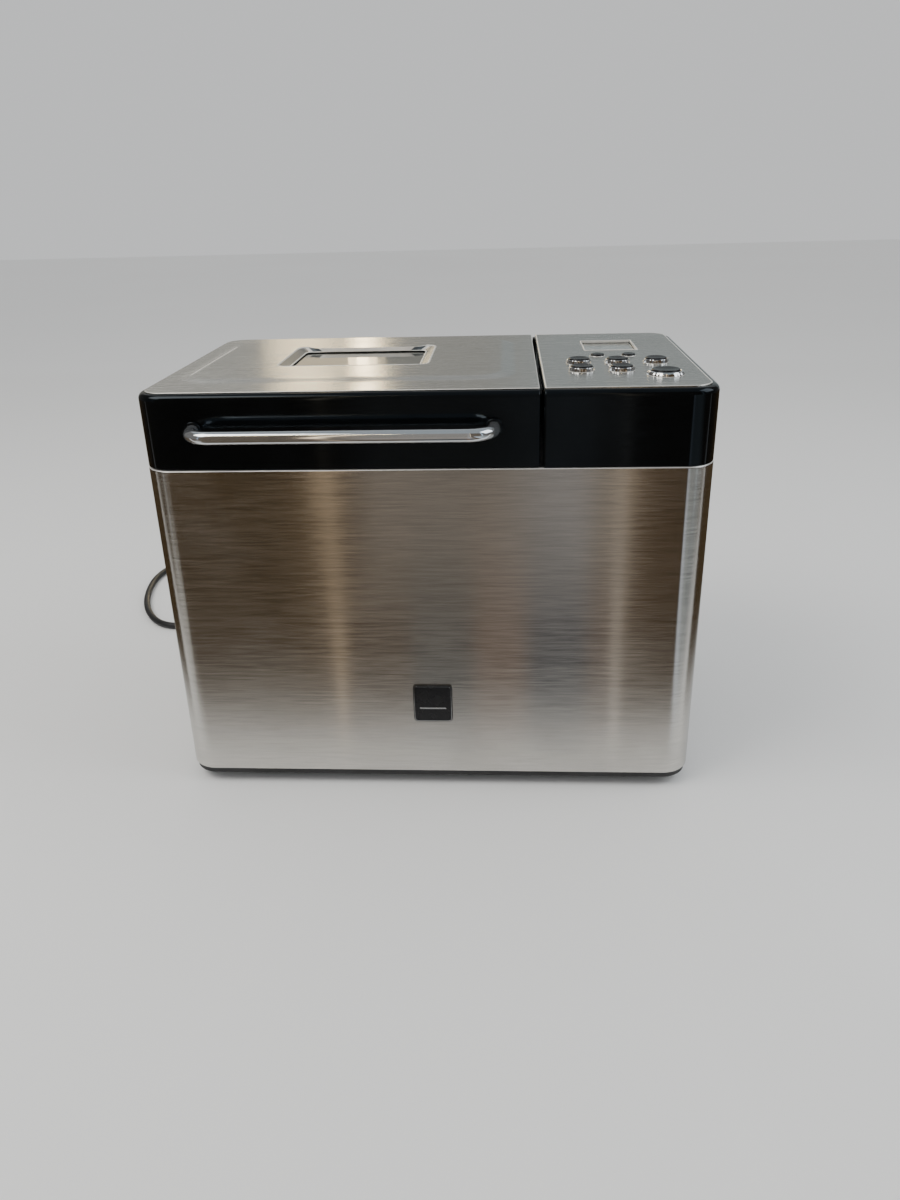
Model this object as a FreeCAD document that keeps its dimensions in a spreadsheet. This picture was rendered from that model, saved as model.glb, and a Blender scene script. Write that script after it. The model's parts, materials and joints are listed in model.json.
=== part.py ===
"""Bread machine: a steel-wrapped body with a hinged lid, a kneading drive and a bread pan.

Frame: X to the right, Y to the back, Z up, in millimetres. The origin is at the bottom
centre of the box around the machine without its power cord.
"""
import FreeCAD, Part
import os
from math import asin, atan2, cos, degrees, pi, tan
import Sketcher
from FreeCAD import Placement, Rotation, Vector

# Driving dimensions: name, value, what it is.
SIZES = [
    ("body_w", 365, "width of the steel body"),
    ("body_d", 226, "depth of the steel body"),
    ("corner_r", 20, "radius of the body's upright corners"),
    ("wrap_h", 226, "height of the steel wrap"),
    ("sheet_t", 0.8, "thickness of the steel sheet"),
    ("shell_t", 2.5, "thickness of moulded walls"),
    ("foot_h", 8, "height of the rubber feet"),
    ("foot_d", 20, "diameter of the rubber feet"),
    ("foot_x", 140, "feet, from the middle to the side"),
    ("foot_y", 92, "feet, from the middle to the front"),
    ("base_t", 4, "thickness of the base floor"),
    ("base_wall_h", 14, "height of the base's upright wall"),
    ("skirt_h", 12, "height of the deck's skirt"),
    ("inset", 2, "base and deck, in from the outside of the wrap"),
    ("rear_w", 300, "width of the rear panel"),
    ("rear_t", 1.5, "thickness of the rear panel"),
    ("screw_head_h", 1.8, "height of a screw head"),
    ("screw_head_d", 7, "diameter of a screw head"),
    ("screw_d", 3.5, "diameter of a screw"),
    ("band_w", 364.5, "width across the lid and the control housing"),
    ("band_d", 225.5, "depth of the lid and the control housing"),
    ("band_r", 19.5, "radius of the band's upright corners"),
    ("band_h", 48.2, "height of the band above the wrap"),
    ("band_edge_r", 4, "rounding of the band's top edge"),
    ("band_lift", 0.7, "lid's lower edge above the wrap"),
    ("split_x", 73.3, "line between the lid and the control housing"),
    ("split_gap", 2, "gap between the lid and the control housing"),
    ("skin_in", 4.6, "steel top, in from the band's outside"),
    ("skin_side", 0.6, "steel top, in from the line between lid and housing"),
    ("skin_r", 14, "corner radius of the steel tops"),
    ("roof_t", 3, "thickness of the roofs under the steel tops"),
    ("plateau_h", 2, "height of the lid's raised field"),
    ("plateau_w", 222, "width of the lid's raised field"),
    ("plateau_d", 168, "depth of the lid's raised field"),
    ("window_w", 105, "width of the window frame"),
    ("window_d", 82, "depth of the window frame"),
    ("window_y", 8, "window, behind the body's middle"),
    ("glass_w", 91, "visible width of the window"),
    ("glass_d", 68, "visible depth of the window"),
    ("pane_t", 3, "thickness of a window pane"),
    ("pane_rise", 2.3, "height of the raised middle of the lid's outer pane"),
    ("hinge_r", 10, "hinge axis, in from the lid's back and lower edge"),
    ("lug_w", 16, "width of a hinge lug"),
    ("lug_left_x", -140, "left hinge lug"),
    ("lug_right_x", 30, "right hinge lug"),
    ("pin_d", 4, "diameter of a hinge pin"),
    ("running", 0.1, "a bore's diameter over its turning shaft"),
    ("handle_x", -50, "middle of the handle"),
    ("handle_w", 188, "handle, between its ends"),
    ("handle_z", 264.5, "height of the handle"),
    ("handle_d", 8, "diameter of the handle bar"),
    ("handle_bend", 16, "bend radius of the handle bar"),
    ("handle_reach", 25, "handle's front, from the body's front"),
    ("badge_w", 27.5, "width of the front badge"),
    ("badge_h", 28.8, "height of the front badge"),
    ("badge_z", 68.9, "height of the badge's middle"),
    ("badge_t", 1.4, "thickness of the badge"),
    ("pan_x", -55, "middle of the bread pan and of the oven chamber"),
    ("chamber_w", 214, "inner width of the chamber"),
    ("chamber_d", 164, "inner depth of the chamber"),
    ("chamber_r", 22, "corner radius of the chamber"),
    ("chamber_z", 58, "height of the chamber's floor"),
    ("pan_w", 176, "width of the pan's bottom"),
    ("pan_d", 126, "depth of the pan's bottom"),
    ("pan_r", 26, "corner radius of the pan"),
    ("pan_h", 130, "height of the pan"),
    ("pan_t", 1.6, "thickness of the pan's wall"),
    ("pan_z", 84, "height of the pan's bottom"),
    ("pan_draft", 1.5, "slope of the pan's wall, in degrees"),
    ("rim_w", 193, "width over the pan's rim"),
    ("rim_d", 143, "depth over the pan's rim"),
    ("bail_d", 4, "diameter of the bail's wire"),
    ("bail_reach", 60, "bail, from its pivots to its grip"),
    ("heater_d", 6.5, "diameter of the heating element"),
    ("heater_z", 72, "height of the heating element"),
    ("shaft_d", 8, "diameter of the drive shaft and the motor shaft"),
    ("pulley_z", 22, "height of the pulleys' underside"),
    ("pulley_h", 16, "height of the pulleys"),
    ("pulley_large_d", 88, "belt diameter of the large pulley"),
    ("pulley_small_d", 18, "belt diameter of the small pulley"),
    ("belt_t", 2, "thickness of the belt"),
    ("motor_x", 112, "motor's axis"),
    ("motor_z", 48, "height of the motor bracket"),
    ("motor_w", 76, "width of the motor's laminations"),
    ("board_z", 272, "height of the control board"),
    ("panel_x", 128, "middle of the control panel"),
    ("lcd_w", 37, "width of the display window"),
    ("lcd_d", 43, "depth of the display window"),
    ("lcd_y", 47.5, "display window, behind the body's middle"),
    ("key_rise", 3.5, "key tops above the steel top"),
    ("low_rise", 1.6, "small keys' tops above the steel top"),
    ("key_gap", 0.6, "a key's hole over its diameter"),
    ("bezel_h", 2.6, "height of the rings round the keys"),
    ("low_bezel_h", 0.7, "height of the rings round the small keys"),
    ("cord_d", 6.5, "diameter of the power cord"),
    ("cord_x", -140, "where the cord leaves the rear panel"),
    ("cord_z", 34, "height of the cord's exit"),
    ("relief_l", 30, "length of the strain relief"),
    ("coil_x", -150, "middle of the cord's coil"),
    ("coil_y", 258, "middle of the cord's coil"),
    ("coil_r", 36, "radius of the coil's turns, at the cord's centre"),
]

# Keys: name, x, distance behind the body's middle, cap diameter, ring diameter.
KEYS = [
    ("key_small_left", 116, 2, 9.4, 11.2),
    ("key_small_right", 137.8, 1.5, 9.4, 11.2),
    ("key_back_left", 101, -25, 14.3, 17.6),
    ("key_back_middle", 127, -26, 14.3, 17.6),
    ("key_back_right", 153, -26, 14.3, 17.6),
    ("key_front_left", 101, -53, 14.3, 17.6),
    ("key_front_middle", 127, -54, 14.3, 17.6),
    ("key_start", 153, -70, 18.2, 24.4),
]

SMALL_KEYS = ("key_small_left", "key_small_right")

# Route of the cord from the strain relief's tip to the coil: x, distance behind the
# machine's rear panel, height of the cord's centre over the surface it lies on.
CORD_ROUTE = [
    (-140, 32, 34),
    (-140, 64, 34),
    (-156, 92, 14),
    (-192, 98, 3.3),
    (-230, 60, 3.3),
    (-266, 32, 3.3),
    (-298, 36, 3.3),
    (-324, 72, 3.3),
    (-339, 116, 3.3),
    (-345, 162, 3.3),
    (-335, 197, 3.3),
    (-305, 212, 3.3),
    (-262, 202, 3.3),
    (-220, 176, 3.3),
    (-185, 170, 3.3),
    (-151, 169.4, 3.3),
]

DOC = FreeCAD.newDocument("BreadMachine")
SHEET = DOC.addObject("Spreadsheet::Sheet", "Sizes")
PIECES = []


class Size:
    """A number together with the spreadsheet expression that gives it."""

    def __init__(self, value, text):
        self.value = value
        self.text = text

    def __float__(self):
        return float(self.value)

    def _join(self, other, sign, value, swap=False):
        pair = [self.text, other.text if isinstance(other, Size) else repr(other)]
        if swap:
            pair.reverse()
        return Size(value, f"({pair[0]} {sign} {pair[1]})")

    def __add__(self, other):
        return self._join(other, "+", self.value + float(other))

    def __radd__(self, other):
        return self._join(other, "+", other + self.value, swap=True)

    def __sub__(self, other):
        return self._join(other, "-", self.value - float(other))

    def __rsub__(self, other):
        return self._join(other, "-", other - self.value, swap=True)

    def __mul__(self, other):
        return self._join(other, "*", self.value * float(other))

    __rmul__ = __mul__

    def __truediv__(self, other):
        return self._join(other, "/", self.value / float(other))

    def __neg__(self):
        return self * -1


class Sizes:
    """The spreadsheet's values, by name."""

    def __init__(self):
        for row, (name, value, note) in enumerate(SIZES, 1):
            SHEET.set(f"A{row}", note)
            SHEET.set(f"B{row}", str(value))
            SHEET.setAlias(f"B{row}", name)
            setattr(self, name, Size(value, f"Sizes.{name}"))
        DOC.recompute()


def bind(obj, prop, size):
    """Tie a property to the spreadsheet, or set it where it is a plain number."""
    obj.setExpression(prop, size.text if isinstance(size, Size) else repr(float(size)))


def hold(sketch, kind, refs, size):
    """A dimension of a sketch, tied to the spreadsheet where its size is."""
    index = sketch.addConstraint(Sketcher.Constraint(kind, *refs, float(size)))
    if isinstance(size, Size):
        sketch.setExpression(f"Constraints[{index}]", size.text)


def circle(diameter, x=0.0, y=0.0):
    """Outline: a circle."""
    def draw(sketch):
        shape = Part.Circle(Vector(float(x), float(y), 0), Vector(0, 0, 1), float(diameter) / 2)
        index = sketch.addGeometry(shape, False)
        hold(sketch, "DistanceX", (-1, 1, index, 3), x)
        hold(sketch, "DistanceY", (-1, 1, index, 3), y)
        hold(sketch, "Diameter", (index,), diameter)
    return draw


def path(points, closed=True):
    """Outline: level and upright lines through (x, y) or (x, y, radius) corners."""
    corners = [(p[0], p[1], p[2] if len(p) > 2 else 0) for p in points]
    count = len(corners)

    def spot(index):
        x, y, _ = corners[index % count]
        return Vector(float(x), float(y), 0)

    def draw(sketch):
        steps = range(count if closed else count - 1)
        ways = [(spot(i + 1) - spot(i)).normalize() for i in steps]

        def trim(index):
            inner = closed or 0 < index < count - 1
            return float(corners[index % count][2]) if inner else 0.0

        lines = []
        for i in steps:
            start = spot(i) + ways[i] * trim(i)
            end = spot(i + 1) - ways[i] * trim(i + 1)
            lines.append(sketch.addGeometry(Part.LineSegment(start, end), False))
            level = abs(ways[i].x) > 0.5
            sketch.addConstraint(Sketcher.Constraint("Horizontal" if level else "Vertical", lines[i]))
            along = corners[i][1] if level else corners[i][0]
            hold(sketch, "DistanceY" if level else "DistanceX", (-1, 1, lines[i], 1), along)
        for i in (steps if closed else steps[1:]):
            before, after = lines[i - 1], lines[i]
            if trim(i) == 0:
                sketch.addConstraint(Sketcher.Constraint("Coincident", before, 2, after, 1))
                continue
            start = spot(i) - ways[i - 1] * trim(i)
            end = spot(i) + ways[i] * trim(i)
            centre = start + ways[i] * trim(i)
            left_turn = ways[i - 1].cross(ways[i]).z > 0
            ends = [start, end] if left_turn else [end, start]
            angles = [atan2(p.y - centre.y, p.x - centre.x) for p in ends]
            full = Part.Circle(centre, Vector(0, 0, 1), trim(i))
            arc = sketch.addGeometry(Part.ArcOfCircle(full, *angles), False)
            first, last = (1, 2) if left_turn else (2, 1)
            sketch.addConstraint(Sketcher.Constraint("Tangent", before, 2, arc, first))
            sketch.addConstraint(Sketcher.Constraint("Tangent", arc, last, after, 1))
            hold(sketch, "Radius", (arc,), corners[i][2])
        if not closed:
            for line, place, corner, way in ((lines[0], 1, corners[0], ways[0]),
                                             (lines[-1], 2, corners[-1], ways[-1])):
                level = abs(way.x) > 0.5
                hold(sketch, "DistanceX" if level else "DistanceY", (-1, 1, line, place),
                     corner[0] if level else corner[1])
    return draw


def rect(width, depth, x=0.0, y=0.0, radius=0, right_radius=None):
    """Outline: a rectangle with rounded corners, which may differ on its right side."""
    right = radius if right_radius is None else right_radius
    x0, x1 = x - width / 2, x + width / 2
    y0, y1 = y - depth / 2, y + depth / 2
    return path([(x0, y0, radius), (x1, y0, right), (x1, y1, right), (x0, y1, radius)])


def belt_line(large_d, small_d, distance):
    """Outline: a belt's line round two circles, the large one at the sketch's origin."""
    def draw(sketch):
        slope = asin((float(large_d) - float(small_d)) / 2 / float(distance))
        up = Vector(0, 0, 1)
        arcs = []
        for diameter, x, start, end in ((large_d, 0.0, pi / 2 - slope, 3 * pi / 2 + slope),
                                        (small_d, distance, slope - pi / 2, pi / 2 - slope)):
            full = Part.Circle(Vector(float(x), 0, 0), up, float(diameter) / 2)
            arc = sketch.addGeometry(Part.ArcOfCircle(full, start, end), False)
            hold(sketch, "DistanceX", (-1, 1, arc, 3), x)
            hold(sketch, "DistanceY", (-1, 1, arc, 3), 0.0)
            hold(sketch, "Diameter", (arc,), diameter)
            arcs.append(arc)
        large, small = arcs
        for (one, one_end), (other, other_end) in (((large, 1), (small, 2)), ((small, 1), (large, 2))):
            geometry = sketch.Geometry
            ends = []
            for arc, which in ((one, one_end), (other, other_end)):
                ends.append(geometry[arc].StartPoint if which == 1 else geometry[arc].EndPoint)
            line = sketch.addGeometry(Part.LineSegment(*ends), False)
            sketch.addConstraint(Sketcher.Constraint("Tangent", one, one_end, line, 1))
            sketch.addConstraint(Sketcher.Constraint("Tangent", line, 2, other, other_end))
    return draw


class Piece:
    """A sub-part: a PartDesign body built from sketches on its own origin planes.

    A feature starts at a level along the plane's axis (Z for XY, Y for XZ, X for YZ)
    and runs the given length in that axis's positive direction.
    """

    def __init__(self, name, x=0.0, y=0.0, z=0.0, several=False, placement=None):
        self.name = name
        self.body = DOC.addObject("PartDesign::Body", name)
        self.body.Label = name
        self.body.AllowCompound = several
        if placement:
            self.body.Placement = placement
        else:
            for axis, size in (("x", x), ("y", y), ("z", z)):
                bind(self.body, f"Placement.Base.{axis}", size)
        self.parts = 0
        PIECES.append(self.body)

    def _new(self, kind, what):
        self.parts += 1
        return self.body.newObject(kind, f"{self.name}_{what}_{self.parts}")

    def origin(self, role):
        return [item for item in self.body.Origin.OriginFeatures if item.Role == role][0]

    def sketch(self, outlines, level=0.0, plane="XY"):
        sketch = self._new("Sketcher::SketchObject", "sketch")
        sketch.AttachmentSupport = [(self.origin(f"{plane}_Plane"), "")]
        sketch.MapMode = "FlatFace"
        bind(sketch, "AttachmentOffset.Base.z", -level if plane == "XZ" else level)
        for draw in outlines if isinstance(outlines, list) else [outlines]:
            draw(sketch)
        return sketch

    def pad(self, outlines, length, level=0.0, plane="XY", taper=0.0):
        feature = self._new("PartDesign::Pad", "pad")
        feature.Profile = self.sketch(outlines, level, plane)
        feature.Reversed = plane == "XZ"
        bind(feature, "Length", length)
        bind(feature, "TaperAngle", taper)
        return self._settle(feature)

    def cut(self, outlines, length, level=0.0, plane="XY", taper=0.0):
        before = self.body.Shape.Volume
        feature = self._new("PartDesign::Pocket", "pocket")
        feature.Profile = self.sketch(outlines, level, plane)
        feature.Reversed = plane != "XZ"
        bind(feature, "Length", length)
        bind(feature, "TaperAngle", taper)
        self._settle(feature)
        if self.body.Shape.Volume > before - 0.01:
            raise RuntimeError(f"{feature.Name} cuts nothing")
        return feature

    def sweep(self, profile, spine):
        feature = self._new("PartDesign::AdditivePipe", "pipe")
        feature.Profile = profile
        feature.Spine = (spine, [])
        return self._settle(feature)

    def ring(self, feature, count, axis="Z_Axis"):
        """Repeat a feature round an axis of the body."""
        pattern = self._new("PartDesign::PolarPattern", "polar")
        pattern.Originals = [feature]
        pattern.Axis = (self.origin(axis), [""])
        pattern.Angle = 360
        pattern.Occurrences = count
        return self._settle(pattern)

    def row(self, feature, count, length, axis="X_Axis"):
        """Repeat a feature along an axis of the body."""
        pattern = self._new("PartDesign::LinearPattern", "row")
        pattern.Originals = [feature]
        pattern.Direction = (self.origin(axis), [""])
        bind(pattern, "Length", length)
        pattern.Occurrences = count
        return self._settle(pattern)

    def fillet(self, radius, wanted):
        """Round the edges whose bounding box the given test accepts."""
        shape = self.body.Tip.Shape
        names = [f"Edge{i}" for i, edge in enumerate(shape.Edges, 1) if wanted(edge.BoundBox)]
        if not names:
            raise RuntimeError(f"{self.name}: no edge to round")
        base = self.body.Tip
        feature = self._new("PartDesign::Fillet", "fillet")
        feature.Base = (base, names)
        bind(feature, "Radius", radius)
        return self._settle(feature)

    def _settle(self, feature):
        self.body.Tip = feature
        DOC.recompute()
        if {"Invalid", "Error"} & set(feature.State) or feature.Shape.isNull():
            raise RuntimeError(f"{feature.Name} failed")
        return feature


def flat_at(level, tolerance=0.01):
    """Test for edges that lie in the level plane z = level."""
    def wanted(box):
        return abs(box.ZMin - float(level)) < tolerance and abs(box.ZMax - float(level)) < tolerance
    return wanted


def four(x, y):
    """The four corners of a rectangle round the origin."""
    return [(a * x, b * y) for a in (-1, 1) for b in (-1, 1)]


S = Sizes()
DEPTH = S.handle_reach + S.body_d + S.screw_head_h
FRONT = S.handle_reach - DEPTH / 2
BACK = FRONT + S.body_d
MID = FRONT + S.body_d / 2
STEEL_Z = S.foot_h + S.base_t
DECK_Z = STEEL_Z + S.wrap_h
DECK_T = 4.2
DECK_TOP = 0.2
LID_Z = DECK_Z + S.band_lift
ROOF_Z = DECK_Z + S.band_h
SKIN_Z = ROOF_Z + S.sheet_t
LID_H = ROOF_Z - LID_Z
HINGE_Y = BACK - S.hinge_r
HINGE_Z = LID_Z + S.hinge_r
LID_LEFT = -S.band_w / 2
LID_RIGHT = S.split_x - S.split_gap / 2
PANEL_LEFT = S.split_x + S.split_gap / 2
PANEL_RIGHT = S.band_w / 2
REAR_SCREWS = [(x, z) for x in (-120.0, 120.0) for z in (7.5, 216.0)]
CHAMBER_POSTS = four(88.0, 60.0)
MOTOR_POSTS = four(42.0, 42.0)
BOARD_POSTS = four(34.0, 14.0)
BOARD_Y = 82.0
BOARD_Z = 24.0


def make_base():
    """Moulded base with its wall, posts, vents and the four feet."""
    base = Piece("base_pan", y=MID, z=S.foot_h)
    base.pad(rect(S.body_w - 3, S.body_d - 3, radius=S.corner_r - 1.5), S.base_t)
    outer = (S.body_w - 2 * S.inset, S.body_d - 2 * S.inset)
    wall = [rect(*outer, radius=S.corner_r - S.inset),
            rect(outer[0] - 2 * S.shell_t, outer[1] - 2 * S.shell_t,
                 radius=S.corner_r - S.inset - S.shell_t)]
    base.pad(wall, S.base_wall_h, S.base_t)
    posts = [circle(11, S.pan_x + x, y) for x, y in CHAMBER_POSTS]
    base.pad(posts, S.chamber_z - STEEL_Z, S.base_t)
    posts = [circle(9, S.motor_x + x, y) for x, y in MOTOR_POSTS]
    base.pad(posts, S.motor_z - STEEL_Z, S.base_t)
    posts = [circle(7, S.panel_x + x, BOARD_Y + y) for x, y in BOARD_POSTS]
    base.pad(posts, BOARD_Z - STEEL_Z, S.base_t)
    bores = [circle(S.screw_d + 0.4, S.pan_x + x, y) for x, y in CHAMBER_POSTS]
    base.cut(bores, 16, S.chamber_z - S.foot_h - 16)
    bores = [circle(S.screw_d + 0.4, S.motor_x + x, y) for x, y in MOTOR_POSTS]
    base.cut(bores, 12, S.motor_z - S.foot_h - 12)
    base.cut([circle(7.4, x, y) for x, y in four(S.foot_x, S.foot_y)], S.base_t)
    low = [(x, S.base_t + z) for x, z in REAR_SCREWS if z < 100]
    base.cut([circle(S.screw_d + 0.4, x, z) for x, z in low], 8, S.body_d / 2 - 8, "XZ")
    slot = base.cut(rect(3, 46, S.motor_x - 28, 0, radius=1.4), S.base_t)
    base.row(slot, 8, 56)
    slot = base.cut(rect(3, 60, S.pan_x + 56, 0, radius=1.4), S.base_t)
    base.row(slot, 4, 21)

    feet = Piece("rubber_feet", y=MID, several=True)
    places = four(S.foot_x, S.foot_y)
    feet.pad([circle(S.foot_d - 3, x, y) for x, y in places], S.foot_h, taper=10)
    feet.pad([circle(7, x, y) for x, y in places], S.base_t, S.foot_h)
    feet.pad([circle(9, x, y) for x, y in places], 1.5, STEEL_Z)


def make_wrap():
    """Steel wrap round the sides, and the panel that closes the back."""
    wrap = Piece("body_wrap", y=MID, z=STEEL_Z)
    inner = (S.body_w - 2 * S.sheet_t, S.body_d - 2 * S.sheet_t)
    wrap.pad([rect(S.body_w, S.body_d, radius=S.corner_r),
              rect(*inner, radius=S.corner_r - S.sheet_t)], S.wrap_h)
    wrap.cut(rect(S.rear_w, 10, 0, S.body_d / 2), S.wrap_h)

    rear = Piece("rear_panel", y=BACK, z=STEEL_Z)
    rear.pad(rect(S.rear_w - 0.6, S.wrap_h - 0.6, 0, S.wrap_h / 2), S.rear_t, -S.rear_t, "XZ")
    margin = 24.0
    rear.pad(rect(S.rear_w + 20, S.wrap_h - 2 * margin, 0, S.wrap_h / 2), 1.4, -1.4 - 1.0, "XZ")
    slots = [rect(56, 3.2, x, 150, radius=1.5) for x in (-70, 0, 70)]
    louvres = rear.cut(slots, 6, -4, "XZ")
    rear.row(louvres, 6, 45, "Z_Axis")
    rear.cut(circle(13.6, S.cord_x, S.cord_z - STEEL_Z), 6, -4, "XZ")
    rear.cut([circle(S.screw_d + 0.4, x, z) for x, z in REAR_SCREWS], 6, -4, "XZ")

    badge = Piece("front_badge", y=FRONT - S.badge_t, z=S.badge_z)
    badge.pad(rect(S.badge_w, S.badge_h, radius=3), S.badge_t, plane="XZ")
    badge.cut(rect(S.badge_w - 2.4, S.badge_h - 2.4, radius=2), 0.4, plane="XZ")
    badge.pad(rect(S.badge_w - 12, 1.6, radius=0.7), 0.3, 0.1, "XZ")


def make_deck():
    """Deck on top of the wrap, with the chamber's mouth and the lid's hinge lugs."""
    deck = Piece("top_deck", y=MID, z=DECK_Z)
    outer = (S.body_w - 2 * S.inset, S.body_d - 2 * S.inset)
    deck.pad(rect(*outer, radius=S.corner_r - S.inset), DECK_T, DECK_TOP - DECK_T)
    skirt = [rect(*outer, radius=S.corner_r - S.inset),
             rect(outer[0] - 2 * S.shell_t, outer[1] - 2 * S.shell_t,
                  radius=S.corner_r - S.inset - S.shell_t)]
    deck.pad(skirt, S.skirt_h, DECK_TOP - DECK_T - S.skirt_h)
    gap = 2 * S.sheet_t + 0.8
    deck.cut(rect(S.chamber_w + gap, S.chamber_d + gap, S.pan_x, radius=S.chamber_r + gap / 2),
             DECK_T, DECK_TOP - DECK_T)
    deck.cut(rect(60, 120, S.panel_x, radius=6), DECK_T, DECK_TOP - DECK_T)
    high = [(x, z - S.wrap_h) for x, z in REAR_SCREWS if z > 100]
    deck.cut([circle(S.screw_d + 0.4, x, z) for x, z in high], 8, S.body_d / 2 - 8, "XZ")
    eye_y = HINGE_Y - MID
    eye_z = HINGE_Z - DECK_Z
    for lug in (S.lug_left_x, S.lug_right_x):
        left = lug - S.lug_w / 2
        deck.pad(rect(13, eye_z, eye_y, eye_z / 2), S.lug_w, left, "YZ")
        deck.pad(circle(13, eye_y, eye_z), S.lug_w, left, "YZ")
        deck.cut(circle(S.pin_d + S.running, eye_y, eye_z), S.lug_w, left, "YZ")


def make_chamber():
    """Oven chamber with its floor, heating element and temperature sensor."""
    wall = Piece("chamber_wall", S.pan_x, MID, S.chamber_z)
    wall.pad([rect(S.chamber_w + 2 * S.sheet_t, S.chamber_d + 2 * S.sheet_t,
                   radius=S.chamber_r + S.sheet_t),
              rect(S.chamber_w, S.chamber_d, radius=S.chamber_r)], DECK_Z - S.chamber_z)
    heater_up = S.heater_z - S.chamber_z
    ends = [circle(S.heater_d + 1.5, y, heater_up) for y in (-14, 14)]
    wall.cut(ends, 6, S.chamber_w / 2 - 2, "YZ")
    sensor_up = 60.0
    wall.cut(circle(7, -60, sensor_up), 6, S.chamber_d / 2 - 2, "XZ")

    floor = Piece("chamber_floor", S.pan_x, MID, S.chamber_z)
    floor.pad(rect(S.chamber_w - 0.6, S.chamber_d - 0.6, radius=S.chamber_r - 0.3), S.sheet_t)
    floor.cut(circle(34), S.sheet_t)
    floor.cut([circle(S.screw_d + 0.4, x, y) for x, y in CHAMBER_POSTS], S.sheet_t)
    floor.cut([circle(S.screw_d + 0.4, x, y) for x, y in four(27.0, 27.0)], S.sheet_t)

    heater = Piece("heater_element", S.pan_x, MID, S.heater_z)
    out_x, side_x, side_y, end_y = S.chamber_w / 2 + 14, 97.0, 72.0, 14.0
    spine = heater.sketch(path([(out_x, -end_y), (side_x, -end_y, 10), (side_x, -side_y, 24),
                                (-side_x, -side_y, 24), (-side_x, side_y, 24),
                                (side_x, side_y, 24), (side_x, end_y, 10), (out_x, end_y)],
                               closed=False))
    profile = heater.sketch(circle(S.heater_d, -end_y, 0), out_x, "YZ")
    heater.sweep(profile, spine)

    sensor = Piece("temperature_sensor", S.pan_x - 60, MID + S.chamber_d / 2, S.chamber_z + sensor_up)
    sensor.pad(circle(6), 14, -14 + 6.0, "XZ")
    sensor.pad(circle(12), 4, S.sheet_t + 0.2, "XZ")


def make_drive():
    """Pan mount, drive shaft, coupling, pulleys, belt and motor."""
    flange_z = S.chamber_z + S.sheet_t
    mount = Piece("drive_housing", S.pan_x, MID, flange_z)
    mount.pad(circle(92), 4)
    mount.pad(circle(32), 18, -18)
    mount.pad([circle(80), circle(72)], 16, 4)
    notch = mount.cut(rect(14, 10, 38, 0), 11, 9)
    mount.ring(notch, 3)
    mount.cut(circle(14.1), 22, -18)
    mount.cut([circle(S.screw_d + 0.4, x, y) for x, y in four(27.0, 27.0)], 4)

    bushes = Piece("shaft_bushes", S.pan_x, MID, flange_z, several=True)
    bushes.pad([circle(14), circle(S.shaft_d + S.running)], 9, -18)
    bushes.pad([circle(14), circle(S.shaft_d + S.running)], 9, -5)

    shaft = Piece("drive_shaft", S.pan_x, MID, S.pulley_z - 3)
    shaft.pad(circle(S.shaft_d), 50)
    shaft.cut(rect(4, 10, S.shaft_d / 2 + 1.4, 0), 6, 44)

    coupling = Piece("drive_coupling", S.pan_x, MID, flange_z + 4.5)
    coupling.pad(circle(28), 6)
    coupling.pad([rect(7, 8, 0, y) for y in (-9.5, 9.5)], 6, 6)
    coupling.cut(circle(S.shaft_d + 0.04), 6)

    large = Piece("large_pulley", S.pan_x, MID, S.pulley_z)
    lip = 1.5
    large.pad(circle(S.pulley_large_d + 4), lip)
    large.pad(circle(S.pulley_large_d), S.pulley_h - 2 * lip, lip)
    large.pad(circle(S.pulley_large_d + 4), lip, S.pulley_h - lip)
    large.cut([circle(S.pulley_large_d - 10), circle(24)], 6, S.pulley_h - 6)
    hole = large.cut(circle(18, 27, 0), S.pulley_h)
    large.ring(hole, 6)
    large.cut(circle(S.shaft_d + 0.04), S.pulley_h)

    small = Piece("small_pulley", S.motor_x, MID, S.pulley_z)
    small.pad(circle(S.pulley_small_d + 4), lip)
    small.pad(circle(S.pulley_small_d), S.pulley_h - 2 * lip, lip)
    small.pad(circle(S.pulley_small_d + 4), lip, S.pulley_h - lip)
    small.cut(circle(S.shaft_d + 0.04), S.pulley_h)

    belt = Piece("drive_belt", S.pan_x, MID, S.pulley_z + 3)
    slack = 0.6
    distance = S.motor_x - S.pan_x
    belt.pad([belt_line(S.pulley_large_d + slack + 2 * S.belt_t,
                        S.pulley_small_d + slack + 2 * S.belt_t, distance),
              belt_line(S.pulley_large_d + slack, S.pulley_small_d + slack, distance)],
             S.pulley_h - 6)


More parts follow.
